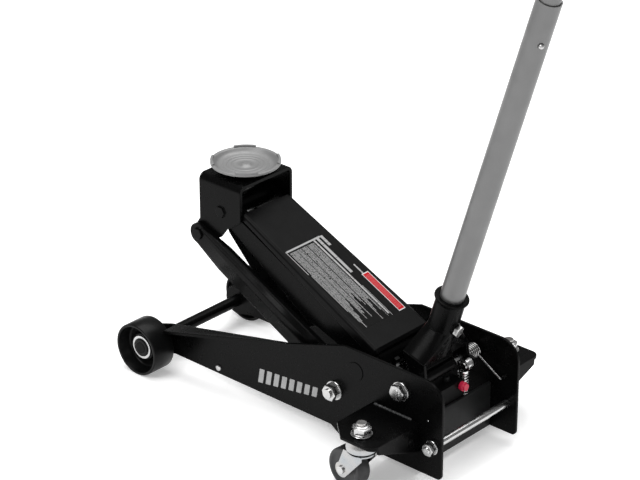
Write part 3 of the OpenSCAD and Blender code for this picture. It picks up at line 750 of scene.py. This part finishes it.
def handed_over(piece: Piece, body: str, finish: Finish, nodes: Sequence[str] = ()) -> Piece:
    """Give a piece its finish and body, and hide the CAD nodes that it stands for.

    Args:
        piece: The finished mesh.
        body: The body that it rides on.
        finish: Its finish, or the last one where it has several.
        nodes: CAD nodes that it replaces.

    Returns:
        The piece.
    """
    if not piece.data.materials:
        piece.data.materials.append(material(finish))
    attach(piece, body)
    if nodes:
        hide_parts(*nodes)
    LOG.info("%s rides on %s", piece.name, body)
    return piece


def eased(node: str, finish: Finish, width: float = 0.0008) -> Piece:
    """Copy a CAD node, merge it, and round its edges.

    Args:
        node: The CAD node.
        finish: Its finish.
        width: Width of the rounding in metres.

    Returns:
        The piece.
    """
    piece = bpy.data.objects.new(f"{node}_eased", frame["nodes"][node].data.copy())
    bpy.context.scene.collection.objects.link(piece)
    piece.data.materials.clear()
    take_up(piece)
    bpy.ops.object.mode_set(mode="EDIT")
    bpy.ops.mesh.select_all(action="SELECT")
    bpy.ops.mesh.remove_doubles(threshold=0.00001)
    bpy.ops.mesh.dissolve_limited(angle_limit=math.radians(0.4))
    bpy.ops.object.mode_set(mode="OBJECT")
    rounded(piece, width, clamp=False)
    smoothed(piece, 32, flats=True)
    return handed_over(piece, body_of(node), finish, [node])


def plain(node: str, finish: Finish) -> None:
    """Give a CAD node its finish and leave its shape.

    Args:
        node: The CAD node.
        finish: Its finish.
    """
    thing = frame["nodes"][node]
    thing.data.materials.clear()
    thing.data.materials.append(material(finish))
    LOG.info("%s keeps its shape", node)


def thread(radius: float, low: float, high: float, pitch: float = 0.0016) -> list[tuple[float, float]]:
    """Give the profile of a thread's crests and roots.

    Args:
        radius: Outer radius.
        low: Lower end.
        high: Upper end.
        pitch: Distance between crests.

    Returns:
        The profile from low to high.
    """
    turns = max(1, round((high - low) / pitch))
    step = (high - low) / turns
    root = radius - 0.55 * pitch
    points = []
    for i in range(turns):
        points += [(root, low + i * step), (radius, low + (i + 0.5) * step)]
    return points + [(root, high)]


@dataclass
class Nut:
    """Hexagon nut or bolt head with chamfered corners."""

    flats: float
    height: float

    def build(self, name: str, roll: float = 0.0) -> Piece:
        """Make the nut, standing on z = 0.

        Args:
            name: The piece's name.
            roll: Turn about its axis in degrees.

        Returns:
            The nut.
        """
        corner = self.flats / 2 / math.cos(math.radians(30))
        clear_selection()
        middle = (0, 0, self.height / 2)
        bpy.ops.mesh.primitive_cylinder_add(vertices=6, radius=corner, depth=self.height, location=middle)
        nut = bpy.context.object
        nut.name = name
        bpy.ops.object.transform_apply(location=True, rotation=True, scale=True)
        drop = (corner - self.flats / 2) * 0.62
        wide, foot, top = corner + 0.0004, -0.0001, self.height + 0.00005
        trim = turned("nut_trim", [(0, foot), (self.flats * 0.5, foot), (wide, drop),
                                   (wide, self.height - drop), (self.flats * 0.48, top), (0, top)], 64)
        take_up(nut)
        cut = nut.modifiers.new("chamfer", "BOOLEAN")
        cut.operation = "INTERSECT"
        cut.object = trim
        cut.solver = "EXACT"
        bpy.ops.object.modifier_apply(modifier=cut.name)
        bpy.data.objects.remove(trim)
        rounded(nut, 0.0003, 20)
        smoothed(nut, 30)
        return placed(nut, Matrix.Rotation(math.radians(roll), 4, "Z"))


@dataclass
class Coil:
    """Coil of round wire with closed ends."""

    radius: float
    wire: float
    turns: int
    length: float
    steps: int = 28

    def build(self, name: str) -> Piece:
        """Make the coil round Z, from z = 0 to its length.

        Args:
            name: The piece's name.

        Returns:
            The coil.
        """
        clear_selection()
        start = (self.radius, 0, self.wire / 2)
        bpy.ops.mesh.primitive_circle_add(vertices=12, radius=self.wire / 2, fill_type="NOTHING",
                                          location=start, rotation=(math.pi / 2, 0, 0))
        coil = bpy.context.object
        coil.name = name
        bpy.ops.object.transform_apply(location=True, rotation=True, scale=True)
        screw = coil.modifiers.new("wind", "SCREW")
        screw.axis = "Z"
        screw.angle = 2 * math.pi
        screw.iterations = self.turns
        screw.screw_offset = (self.length - self.wire) / self.turns
        screw.steps = self.steps
        screw.render_steps = self.steps
        screw.use_merge_vertices = False
        bpy.ops.object.modifier_apply(modifier=screw.name)
        bpy.ops.object.mode_set(mode="EDIT")
        close_ends()
        bpy.ops.object.mode_set(mode="OBJECT")
        smoothed(coil, 50)
        return coil


@dataclass
class Stud:
    """Threaded end of a rod with its washer and nut, standing on z = 0."""

    radius: float
    flats: float
    height: float
    washer: float
    washer_height: float
    reach: float
    insert: bool = False

    def build(self, name: str, roll: float = 0.0) -> Piece:
        """Make the washer, the nut and the thread above them.

        Args:
            name: The piece's name.
            roll: Turn of the nut about its axis in degrees.

        Returns:
            The three pieces, joined.
        """
        bore, rim, seat = self.radius, self.washer, self.washer_height
        soft = min(0.0005, seat / 3)
        washer = turned(f"{name}_washer", [(bore, 0), (rim - soft, 0), (rim, soft), (rim, seat - soft),
                                           (rim - soft, seat), (bore, seat)], 64, True)
        nut = Nut(self.flats, self.height).build(f"{name}_nut", roll)
        placed(nut, Matrix.Translation((0, 0, seat)))
        top = seat + self.height
        root = top - 0.001
        crests = thread(bore, root, self.reach - 0.0012)
        end = turned(f"{name}_thread", [(0, root), *crests, (bore - 0.0016, self.reach), (0, self.reach)], 48)
        parts = [coated(piece, Finish.ZINC) for piece in (washer, nut, end)]
        if self.insert:
            low, high = top - 0.0004, top + 0.0022
            outline = [(bore, low), (self.flats * 0.44, low), (self.flats * 0.43, top + 0.0012),
                       (self.flats * 0.36, high), (bore, high)]
            ring = turned(f"{name}_ring", outline, 64, True)
            parts.append(coated(ring, Finish.ZINC))
        return joined(name, parts)


# ---- sub-assemblies --------------------------------------------------------------------


REAR = pivot("socket_tilt").x + 0.0815


@dataclass
class Chassis:
    """Side plates, cross plate, caster wings and the fixed pins between them."""

    edge: float = 0.0009
    pin_edge: float = 0.0006
    face: float = 0.0935
    cap_out: float = 0.138
    tie_rod: tuple[float, float] = (-0.019, 0.066)
    tie_rod_radius: float = 0.006
    shaft_radius: float = 0.008
    bolts: tuple[float, float] = (-0.467, 0.038)
    weld_runs: tuple[Point, ...] = ((-0.134, -0.058, 0.0985), (-0.118, -0.066, 0.0925))
    weld_radius: float = 0.0027
    weld_swell: float = 0.0004
    weld_pitch: float = 0.0034
    flash_bars: int = 8
    flash_pitch: float = 0.0165
    bar_size: Point = (0.0105, 0.025, 0.00012)
    bar_loss: float = 0.0011
    bar_slant: float = 0.3
    flash_place: tuple[float, float] = (-0.372, 0.058)
    flash_tilt: float = 7.0

    def build(self) -> None:
        """Make every piece of the chassis."""
        for node in ("side_plate_near", "side_plate_far", "caster_wing_near", "caster_wing_far"):
            eased(node, Finish.BLACK, self.edge)
        eased("rear_cross_plate", Finish.PANEL, self.edge)
        for node in ("front_axle", "spacer_tubes", "arm_shaft"):
            eased(node, Finish.BLACK, self.pin_edge)
        eased("axle_washers", Finish.ZINC, 0.0004)
        self.axle_caps()
        self.cross_rod()
        self.link_fixings()
        self.shaft()
        self.small_bolts()
        self.welds()
        self.decal()

    def pair(self, pattern: Piece, name: str, x: float, z: float, out: float) -> Piece:
        """Stand a copy of a fixing on each side plate and join them.

        Args:
            pattern: The fixing, standing on z = 0.
            name: The pair's name.
            x: Place along the jack.
            z: Height.
            out: Distance of its foot from the middle of the jack.

        Returns:
            The joined pair.
        """
        twin = copied(pattern, f"{name}_twin")
        placed(pattern, along_y((x, out, z)))
        placed(twin, along_y((x, -out, z), -1) @ Matrix.Rotation(0.4, 4, "Z"))
        return joined(name, [pattern, twin])

    def crosswise(self, name: str, radius: float, half: float, place: Point, facets: int) -> Piece:
        """Turn a plain round bar and lay it across the jack.

        Args:
            name: The piece's name.
            radius: Radius of the bar.
            half: Half its length.
            place: Its middle.
            facets: Facets round it.

        Returns:
            The bar.
        """
        bar = turned(name, [(0, -half), (radius, -half), (radius, half), (0, half)], facets)
        return placed(bar, along_y(place))

    def axle_caps(self) -> None:
        """Turn the push-on caps that hold the front wheels."""
        place = pivot("front_wheel_near_spin")
        cap = turned("axle_cap", [(0.0101, 0), (0.0152, 0), (0.0158, 0.0006), (0.0154, 0.0015),
                                  (0.0132, 0.0024), (0.0101, 0.0024)], 64, True)
        caps = self.pair(coated(cap, Finish.WHEEL), "axle_caps_turned", place.x, place.z, self.cap_out)
        handed_over(caps, "frame", Finish.WHEEL, ["axle_caps"])

    def cross_rod(self) -> None:
        """Turn the rear tie rod and fit its nuts."""
        x, z = REAR + self.tie_rod[0], self.tie_rod[1]
        rod = self.crosswise("tie_rod_turned", self.tie_rod_radius, self.face + 0.001, (x, 0, z), 64)
        handed_over(rod, "frame", Finish.ZINC, ["tie_rod"])
        stud = Stud(self.tie_rod_radius, 0.019, 0.010, 0.012, 0.002, 0.0148).build("tie_rod_stud", 12)
        nuts = self.pair(stud, "tie_rod_fixings", x, z, self.face)
        handed_over(nuts, "frame", Finish.ZINC, ["tie_rod_nuts"])

    def link_fixings(self) -> None:
        """Fit the link bolts and their nuts."""
        place = pivot("link_near_turn")
        stud = Stud(0.008, 0.0238, 0.0125, 0.016, 0.0025, 0.0188).build("link_stud", 8)
        nuts = self.pair(stud, "link_fixings", place.x, place.z, self.face)
        handed_over(nuts, "frame", Finish.ZINC, ["link_nuts"])
        eased("link_bolts", Finish.ZINC, 0.0005)

    def shaft(self) -> None:
        """Turn the socket's shaft and fit its nuts."""
        place = pivot("socket_tilt")
        middle = (place.x, 0, place.z)
        rod = self.crosswise("socket_shaft_turned", self.shaft_radius, self.face + 0.003, middle, 48)
        stud = Stud(self.shaft_radius, 0.0248, 0.0092, 0.016, 0.003, 0.0130).build("shaft_stud", 20)
        ends = self.pair(stud, "shaft_fixings", place.x, place.z, self.face)
        shaft = joined("socket_shaft_turned", [coated(rod, Finish.ZINC), ends])
        handed_over(shaft, "frame", Finish.ZINC, ["socket_shaft"])

    def small_bolts(self) -> None:
        """Fit the small bolts near the front of the side plates."""
        head = turned("plate_bolt", [(0, -0.0138), (0.0027, -0.0138), (0.003, -0.0135), (0.003, 0.0002),
                                     (0.0053, 0.0002), (0.0055, 0.0006), (0.005, 0.002), (0.0032, 0.003),
                                     (0, 0.003)], 40)
        nut = placed(Nut(0.0098, 0.0056).build("plate_bolt_nut"), Matrix.Translation((0, 0, -0.0108)))
        both = joined("plate_bolt", [coated(head, Finish.ZINC), coated(nut, Finish.ZINC)])
        pair = self.pair(both, "plate_bolts_turned", REAR + self.bolts[0], self.bolts[1], self.face)
        handed_over(pair, "frame", Finish.ZINC, ["plate_bolts"])

    def weld_profile(self, steps: int) -> Profile:
        """Give the rippled outline of a bead.

        Args:
            steps: Number of ripples.

        Returns:
            The outline.
        """
        profile = [(0, 0)]
        for i in range(steps):
            lift = self.weld_radius + self.weld_swell * math.sin(i * 2.3)
            start = i * self.weld_pitch
            profile += [(lift * 0.82, start + 0.0006), (lift, start + 0.0018), (lift * 0.86, start + 0.0031)]
        return profile + [(0, steps * self.weld_pitch)]

    def welds(self) -> None:
        """Lay the beads that join each wing to its side plate; their light grey, far paler than the black
        paint, is a painted highlight along each bead.
        """
        beads = []
        for side in (-1, 1):
            for start, end, level in self.weld_runs:
                bead = turned("wing_weld", self.weld_profile(round((end - start) / self.weld_pitch)), 14)
                placed(bead, along_x((REAR + start, side * (self.face + 0.0004), level)))
                beads.append(coated(bead, Finish.WELD))
        handed_over(joined("wing_welds", beads), "frame", Finish.WELD)

    def decal(self) -> None:
        """Lay a generic pale flash of slanted bars on the near side plate."""
        length, width, thickness = self.bar_size
        bars = []
        for i in range(self.flash_bars):
            size = (length, width - self.bar_loss * i, thickness)
            bar = sheet("flash_bar", size, (self.flash_pitch * i, 0, 0), 0.0012, 3)
            for point in bar.data.vertices:
                point.co.x += point.co.y * self.bar_slant
            bars.append(coated(bar, Finish.DECAL))
        flash = joined("side_flash", bars)
        place = Matrix.Translation((REAR + self.flash_place[0], -self.face, self.flash_place[1]))
        upright = Matrix.Rotation(math.radians(90), 4, "X")
        placed(flash, place @ upright @ Matrix.Rotation(math.radians(self.flash_tilt), 4, "Z"))
        handed_over(flash, "frame", Finish.DECAL)


@dataclass
class Casters:
    """Two swivel casters with plated forks."""

    wing_top: float = 0.0985

    def build(self) -> None:
        """Make both casters."""
        eased("caster_races", Finish.FORK, 0.0008)
        for side, sign in (("near", -1), ("far", 1)):
            eased(f"caster_fork_{side}", Finish.FORK, 0.0008)
            eased(f"caster_axle_{side}", Finish.ZINC, 0.0005)
            stem = pivot(f"caster_{side}_swivel")
            fixing = Stud(0.008, 0.0268, 0.012, 0.017, 0.0026, 0.0205, True)
            nut = fixing.build(f"caster_stud_{side}", 10 + 17 * sign)
            placed(nut, Matrix.Translation((stem.x, stem.y, self.wing_top + 0.0004)))
            handed_over(nut, f"caster_{side}", Finish.ZINC, [f"caster_nut_{side}"])
            self.wheel(side)

    def wheel(self, side: str) -> None:
        """Turn a caster's wheel and set it on its axle.

        Args:
            side: "near" or "far".
        """
        half = [(0.00406, 0.013), (0.0098, 0.013), (0.0104, 0.0124), (0.0122, 0.0104), (0.0225, 0.0101),
                (0.0246, 0.0107), (0.0266, 0.0124), (0.0278, 0.013), (0.0302, 0.013), (0.0321, 0.0122),
                (0.033, 0.0104)]
        tyre = turned(f"caster_wheel_turned_{side}", half + [(r, -z) for r, z in reversed(half)], 96, True)
        spin = f"caster_wheel_{side}_spin"
        placed(tyre, towards(pivot(spin), Vector(joint(spin)["axis"])))
        handed_over(tyre, f"caster_wheel_{side}", Finish.TREAD, [f"caster_wheel_{side}"])


@dataclass
class Wheels:
    """Front wheels, pressed and painted."""

    inner: float = 0.107

    def build(self) -> None:
        """Make both wheels."""
        profile = [
            (0.01006, 0.028), (0.0215, 0.028), (0.0228, 0.0274), (0.0255, 0.0212), (0.0272, 0.0201),
            (0.0355, 0.0201), (0.0372, 0.0208), (0.0385, 0.0226), (0.0398, 0.0425), (0.0406, 0.0437),
            (0.0418, 0.044), (0.0432, 0.044), (0.0445, 0.0433), (0.045, 0.0418), (0.045, 0.0022),
            (0.0444, 0.0007), (0.043, 0), (0.041, 0), (0.0402, 0.0006), (0.0378, 0.0105), (0.0365, 0.0118),
            (0.035, 0.012), (0.0196, 0.012), (0.0191, 0.0114), (0.0191, 0.0005), (0.0186, 0), (0.01006, 0)]
        for side, sign in (("near", -1), ("far", 1)):
            wheel = turned(f"front_wheel_turned_{side}", profile, 128, True)
            place = pivot(f"front_wheel_{side}_spin")
            placed(wheel, along_y((place.x, sign * self.inner, place.z), sign))
            handed_over(wheel, f"front_wheel_{side}", Finish.WHEEL, [f"front_wheel_{side}"])


@dataclass
class LiftArm:
    """Lift arm with its cover, bars, panels, tube, levers and label."""

    front: float = -0.318
    top: float = 0.025
    tilt: float = 1.4502
    near_edge: float = -0.049
    far_edge: float = 0.0505
    label_front: float = 0.0945
    label_rear: float = 0.2775

    def build(self) -> None:
        """Make every piece of the arm."""
        eased("arm_cover", Finish.SATIN, 0.0008)
        eased("arm_bars", Finish.BLACK, 0.0008)
        eased("arm_panels", Finish.BLACK, 0.0009)
        for node in ("arm_tube", "arm_levers"):
            eased(node, Finish.BLACK, 0.0006)
        eased("ram_pin", Finish.GROUND, 0.0006)
        self.label()

    def label(self) -> None:
        """Lay the printed film on the cover, with its own UV map."""
        low = Vector((self.label_front, self.near_edge, 0.00003))
        high = Vector((self.label_rear, self.far_edge, 0.00022))
        middle = ((low.x + high.x) / 2, (low.y + high.y) / 2, low.z)
        film = sheet("arm_label_film", tuple(high - low), middle, 0.002, 4)
        layer = film.data.uv_layers.new(name="label")
        for loop in film.data.loops:
            co = film.data.vertices[loop.vertex_index].co
            u, v = (co.x - low.x) / (high.x - low.x), (co.y - low.y) / (high.y - low.y)
            layer.data[loop.index].uv = (u, v)
        cover = at(pivot("arm_lift"), self.angle()) @ Matrix.Translation((self.front, 0, self.top))
        placed(film, cover @ Matrix.Rotation(math.radians(-self.tilt), 4, "Y"))
        handed_over(film, "arm", Finish.LABEL, ["arm_label"])

    def angle(self) -> float:
        """Give the arm's angle above level, in degrees."""
        foot, top = pivot("arm_lift"), pivot("head_level")
        return math.degrees(math.atan2(top.z - foot.z, foot.x - top.x))


@dataclass
class Head:
    """Lifting head, links and saddle."""

    radius: float = 0.057
    lug_top: float = 0.018
    stem: float = 0.013

    def build(self) -> None:
        """Make every piece of the head."""
        eased("lifting_head", Finish.BLACK, 0.0009)
        for node in ("head_pin", "link_pins"):
            eased(node, Finish.SATIN, 0.0006)
        for node in ("link_near", "link_far"):
            eased(node, Finish.BLACK, 0.0009)
        self.saddle()

    def saddle(self) -> None:
        """Turn the saddle with its cast rings and set the low lugs on its rim."""
        rings = [(0, 0.0094), (0.0035, 0.0096), (0.0072, 0.0093), (0.0086, 0.0082), (0.0105, 0.0072),
                 (0.016, 0.007)]
        base, crest = 0.0071, 0.0077
        for start in (0.0205, 0.028, 0.0355):
            rings += [(start, base), (start + 0.0008, crest), (start + 0.0022, crest), (start + 0.003, base)]
        rim = [(0.043, 0.0074), (0.0462, 0.0086), (0.0482, 0.0104), (0.0502, 0.0128), (0.0514, 0.0142),
               (0.0528, 0.015), (0.0555, 0.015), (0.0567, 0.0144), (self.radius, 0.0132), (0.0568, 0.0114),
               (0.0556, 0.0102), (0.0468, 0.0068), (0.0315, 0.0007), (0.030, 0.0003), (self.stem, 0.0003),
               (self.stem, -0.021), (0.0118, -0.022), (0, -0.022)]
        dish = turned("saddle_turned", rings + rim, 128)
        parts = [coated(dish, Finish.SADDLE)]
        for i in range(4):
            parts.append(coated(self.lug(45 + 90 * i), Finish.SADDLE))
        piece = joined("saddle_turned", parts)
        placed(piece, Matrix.Translation(pivot("saddle_swivel")))
        handed_over(piece, "saddle", Finish.SADDLE, ["saddle"])

    def lug(self, middle: float) -> Piece:
        """Sweep one low lug round part of the rim.

        Args:
            middle: The direction of its middle in degrees.

        Returns:
            The lug.
        """
        clear_selection()
        bpy.ops.mesh.primitive_plane_add(size=1, rotation=(math.radians(90), 0, 0))
        lug = bpy.context.object
        lug.name = "saddle_lug"
        lug.scale = (0.0042, 1, 1)
        bpy.ops.object.transform_apply(location=False, rotation=True, scale=False)
        lug.scale = (0.0042, 1, 0.0036)
        lug.location = (self.radius - 0.0025, 0, self.lug_top - 0.0018)
        bpy.ops.object.transform_apply(location=True, rotation=True, scale=True)
        bpy.ops.object.mode_set(mode="EDIT")
        bpy.ops.mesh.select_all(action="SELECT")
        bpy.ops.mesh.spin(steps=14, angle=math.radians(38), center=(0, 0, 0), axis=(0, 0, 1))
        close_ends()
        bpy.ops.object.mode_set(mode="OBJECT")
        rounded(lug, 0.0007, 40)
        smoothed(lug, 40)
        return placed(lug, Matrix.Rotation(math.radians(middle + 19), 4, "Z"))


@dataclass
class PowerUnit:
    """Pump block, tank, ram, plunger, valve, plug and springs."""

    joint_level: float = 0.1302
    post_foot: float = 0.1195
    near_post: tuple[float, ...] = (-0.089, -0.018, 0.0075, 0.1265)
    far_post: tuple[float, ...] = (-0.0735, 0.004, 0.0062, 0.1275)
    spring_level: float = 0.0642
    spring_out: float = 0.036
    spring_gap: float = 0.0004
    coil_inner: float = 0.0555
    coil_outer: float = 0.0833
    peg_level: float = 0.108
    peg_x: float = -0.028

    def build(self) -> None:
        """Make every piece of the hydraulic unit."""
        for node in ("pump_block", "cylinder", "reservoir_tube", "tank_cap"):
            eased(node, Finish.SATIN, 0.0008)
        eased("ram", Finish.GROUND, 0.0006)
        plain("ram_seal", Finish.SEAL)
        eased("pump_plunger", Finish.GROUND, 0.0006)
        eased("release_valve", Finish.ZINC, 0.0004)
        self.valve_joint()
        self.pump_posts()
        eased("filler_plug", Finish.PLUG, 0.0008)
        self.return_springs()
        self.plunger_spring()
        self.torsion_springs()

    def valve_joint(self) -> None:
        """Make the fork and cross that turn the release valve."""
        place = pivot("release_valve_turn")
        parts = []
        for side in (-1, 1):
            ear = Nut(0.0072, 0.0028).build("valve_ear", 12 * side)
            placed(ear, along_y((place.x, side * 0.0046, self.joint_level), side))
            parts.append(coated(ear, Finish.ZINC))
        cross = turned("valve_cross", [(0, -0.0062), (0.0016, -0.0062), (0.002, -0.0056), (0.002, 0.0056),
                                       (0.0016, 0.0062), (0, 0.0062)], 24)
        placed(cross, along_y((place.x, 0, self.joint_level)))
        parts.append(coated(cross, Finish.ZINC))
        handed_over(joined("valve_joint", parts), "release_valve", Finish.ZINC)

    def pump_posts(self) -> None:
        """Turn the two capped posts of the pump beside the valve."""
        posts = []
        for x, y, radius, top in (self.near_post, self.far_post):
            dip = top - 0.0012
            post = turned("pump_post", [(0, self.post_foot), (radius, self.post_foot), (radius, top - 0.0014),
                                        (radius - 0.0008, top - 0.0006), (radius - 0.002, top),
                                        (radius * 0.45, top), (radius * 0.4, dip), (0, dip)], 48)
            placed(post, Matrix.Translation((REAR + x, y, 0)))
            posts.append(coated(post, Finish.PANEL))
        handed_over(joined("pump_posts", posts), "frame", Finish.PANEL)

    def return_springs(self) -> None:
        """Wind the two springs that draw the ram back."""
        low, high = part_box("return_springs")
        coils = []
        for y in (-self.spring_out, self.spring_out):
            coil = Coil(0.0054, 0.0021, 30, high[0] - low[0] - self.spring_gap).build("return_coil")
            placed(coil, along_x((low[0] + self.spring_gap / 2, y, (low[2] + high[2]) / 2)))
            coils.append(coated(coil, Finish.SPRING))
        both = joined("return_coils", coils)
        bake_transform(both)
        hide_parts("return_springs")

    def plunger_spring(self) -> None:
        """Wind the spring that lifts the pump plunger."""
        low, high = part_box("plunger_spring")
        middle = ((low[0] + high[0]) / 2, (low[1] + high[1]) / 2)
        coil = Coil(0.0084, 0.0018, 8, high[2] - low[2] - self.spring_gap).build("plunger_coil")
        placed(coil, Matrix.Translation((*middle, low[2] + self.spring_gap / 2)))
        coated(coil, Finish.SPRING)
        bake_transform(coil)
        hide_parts("plunger_spring")

    def torsion_springs(self) -> None:
        """Wind the springs round the socket's shaft, each with a leg to its peg in the side plate."""
        place = pivot("socket_tilt")
        peg = Vector((REAR + self.peg_x, 0, self.peg_level))
        parts = []
        for side in (-1, 1):
            across = Vector((0, side, 0))
            coil = Coil(0.0119, 0.0026, 6, self.coil_outer - self.coil_inner, 40).build("torsion_coil")
            parts.append(placed(coil, along_y((place.x, side * self.coil_inner, place.z), side)))
            depth = across * (self.coil_outer - 0.0015)
            root = Vector((place.x + 0.0105, 0, place.z - 0.0055)) + depth
            tip = peg + Vector((-0.0005, 0, 0.0005)) + depth
            parts.append(rod_between("torsion_leg", root, tip, 0.00145))
            parts.append(rod_between("torsion_peg", peg + across * 0.0815, peg + across * 0.0932, 0.0014))
        for part in parts:
            coated(part, Finish.SPRING)
        handed_over(joined("torsion_coils", parts), "frame", Finish.SPRING, ["torsion_springs"])


@dataclass
class Handle:
    """Handle socket, handle tubes, grip and button."""

    lean: float = 17.1
    lead: float = 0.0203
    turn: float = -34.0
    tube: float = 0.01925
    tube_bore: float = 0.01675
    grip_low: float = 1.010
    grip_high: float = 1.160
    grip_ribs: int = 20
    bolt_level: float = 0.083

    def build(self) -> None:
        """Make every piece of the handle."""
        eased("handle_socket", Finish.BLACK, 0.0009)
        eased("pump_roller", Finish.GROUND, 0.0006)
        eased("roller_pin", Finish.ZINC, 0.0004)
        self.set_bolt()
        eased("handle_lower", Finish.HANDLE, 0.0005)
        eased("handle_upper", Finish.HANDLE, 0.0005)
        self.grip()
        eased("spring_button", Finish.ZINC, 0.0003)

    def in_socket(self) -> Matrix:
        """Give the socket's own place: its pivot, leaning with the handle."""
        return at(pivot("socket_tilt"), self.lean)

    def in_handle(self) -> Matrix:
        """Give the handle's own place, on its axis and turned with it."""
        axis = self.in_socket() @ Matrix.Translation((-self.lead, 0, 0))
        return axis @ Matrix.Rotation(math.radians(self.turn), 4, "Z")

    def set_bolt(self) -> None:
        """Make the bolt that holds the handle, with a chamfered head."""
        head = placed(Nut(0.0168, 0.0068).build("set_bolt_head", 15), along_x((0.0056, 0, self.bolt_level)))
        shank = turned("set_bolt_shank", [(0, -0.0021), (0.0044, -0.0021), (0.005, -0.0014), (0.005, 0.0058),
                                          (0, 0.0058)], 40)
        placed(shank, along_x((0, 0, self.bolt_level)))
        bolt = joined("set_bolt_turned", [coated(head, Finish.ZINC), coated(shank, Finish.ZINC)])
        placed(bolt, self.in_socket())
        handed_over(bolt, "socket", Finish.ZINC, ["set_bolt"])

    def grip(self) -> None:
        """Turn the ribbed rubber grip."""
        radius, wall = self.tube + 0.001, self.tube_bore
        root, low, high = radius - 0.0007, self.grip_low, self.grip_high
        profile = [(wall, low), (radius - 0.0004, low), (radius, low + 0.0006)]
        pitch = (high - low - 0.012) / self.grip_ribs
        for i in range(self.grip_ribs):
            z = low + 0.004 + i * pitch
            rise = z + pitch * 0.3
            profile += [(radius, z), (root, z + 0.0006), (root, rise), (radius, rise + 0.0006)]
        profile += [(radius, high - 0.003), (radius - 0.001, high - 0.001), (radius - 0.003, high),
                    (0, high), (0, high - 0.006), (wall, high - 0.006)]
        sleeve = turned("handle_grip_turned", profile, 96, True)
        placed(sleeve, self.in_handle())
        handed_over(sleeve, "handle", Finish.GRIP, ["handle_grip"])


@dataclass
class Studio:
    """Pale floor, camera and soft lights."""

    azimuth: float = 42.03
    elevation: float = 26.0
    distance: float = 3.955
    lens: float = 141.65
    aim: Point = (-0.13733, 0.0, 0.2787)
    floor_size: float = 30.0
    glow: float = 0.3
    air: float = 0.26

    def build(self) -> None:
        """Set up the floor, the camera and the lights."""
        self.floor()
        self.camera()
        self.softbox("key_light", (-0.6, -3.0, 3.4), (-0.1, 0, 0.3), 2.0, 85)
        self.softbox("top_light", (-0.4, 1.0, 4.4), (-0.2, 0.3, 0.0), 4.6, 230)
        self.softbox("side_light", (3.2, -1.4, 1.9), (0.1, 0, 0.5), 1.0, 18)
        world = bpy.data.worlds.new("studio_air")
        world.use_nodes = True
        glow = world.node_tree.nodes["Background"]
        glow.inputs["Color"].default_value = (1, 1, 1, 1)
        glow.inputs["Strength"].default_value = self.air
        bpy.context.scene.world = world
        bpy.context.scene.view_settings.view_transform = "Standard"

    def floor(self) -> None:
        """Lay the pale floor."""
        clear_selection()
        bpy.ops.mesh.primitive_plane_add(size=self.floor_size)
        ground = bpy.context.object
        ground.name = "studio_floor"
        s = Sketch("studio_floor")
        s.set(Base_Color=grey(0.93), Roughness=0.9, Specular_IOR_Level=0.0)
        s.set(Emission_Color=grey(1.0), Emission_Strength=self.glow)
        ground.data.materials.append(s.material)

    def camera(self) -> None:
        """Stand the camera at the jack's near rear corner."""
        az, el = math.radians(self.azimuth), math.radians(self.elevation)
        away = Vector((math.sin(az) * math.cos(el), -math.cos(az) * math.cos(el), math.sin(el)))
        lens = bpy.data.cameras.new("studio_camera")
        lens.lens = self.lens
        lens.sensor_width = 36.0
        eye = bpy.data.objects.new("studio_camera", lens)
        eye.location = Vector(self.aim) + away * self.distance
        eye.rotation_euler = (-away).to_track_quat("-Z", "Y").to_euler()
        bpy.context.scene.collection.objects.link(eye)
        bpy.context.scene.camera = eye

    def softbox(self, name: str, place: Point, target: Point, size: float, power: float) -> None:
        """Hang a square soft light.

        Args:
            name: The light's name.
            place: Where it hangs.
            target: Where it points.
            size: Side of the light in metres.
            power: Power in watts.
        """
        lamp = bpy.data.lights.new(name, "AREA")
        lamp.shape = "SQUARE"
        lamp.size = size
        lamp.energy = power
        holder = bpy.data.objects.new(name, lamp)
        holder.location = place
        holder.rotation_euler = (Vector(target) - Vector(place)).to_track_quat("-Z", "Y").to_euler()
        bpy.context.scene.collection.objects.link(holder)


def main() -> None:
    """Build the jack, piece by piece, and the studio round it."""
    logging.basicConfig(level=logging.INFO, format="%(name)s: %(message)s")
    for assembly in (Chassis(), Wheels(), Casters(), LiftArm(), Head(), PowerUnit(), Handle(), Studio()):
        assembly.build()
    clear_selection()


if __name__ == "__main__":
    main()
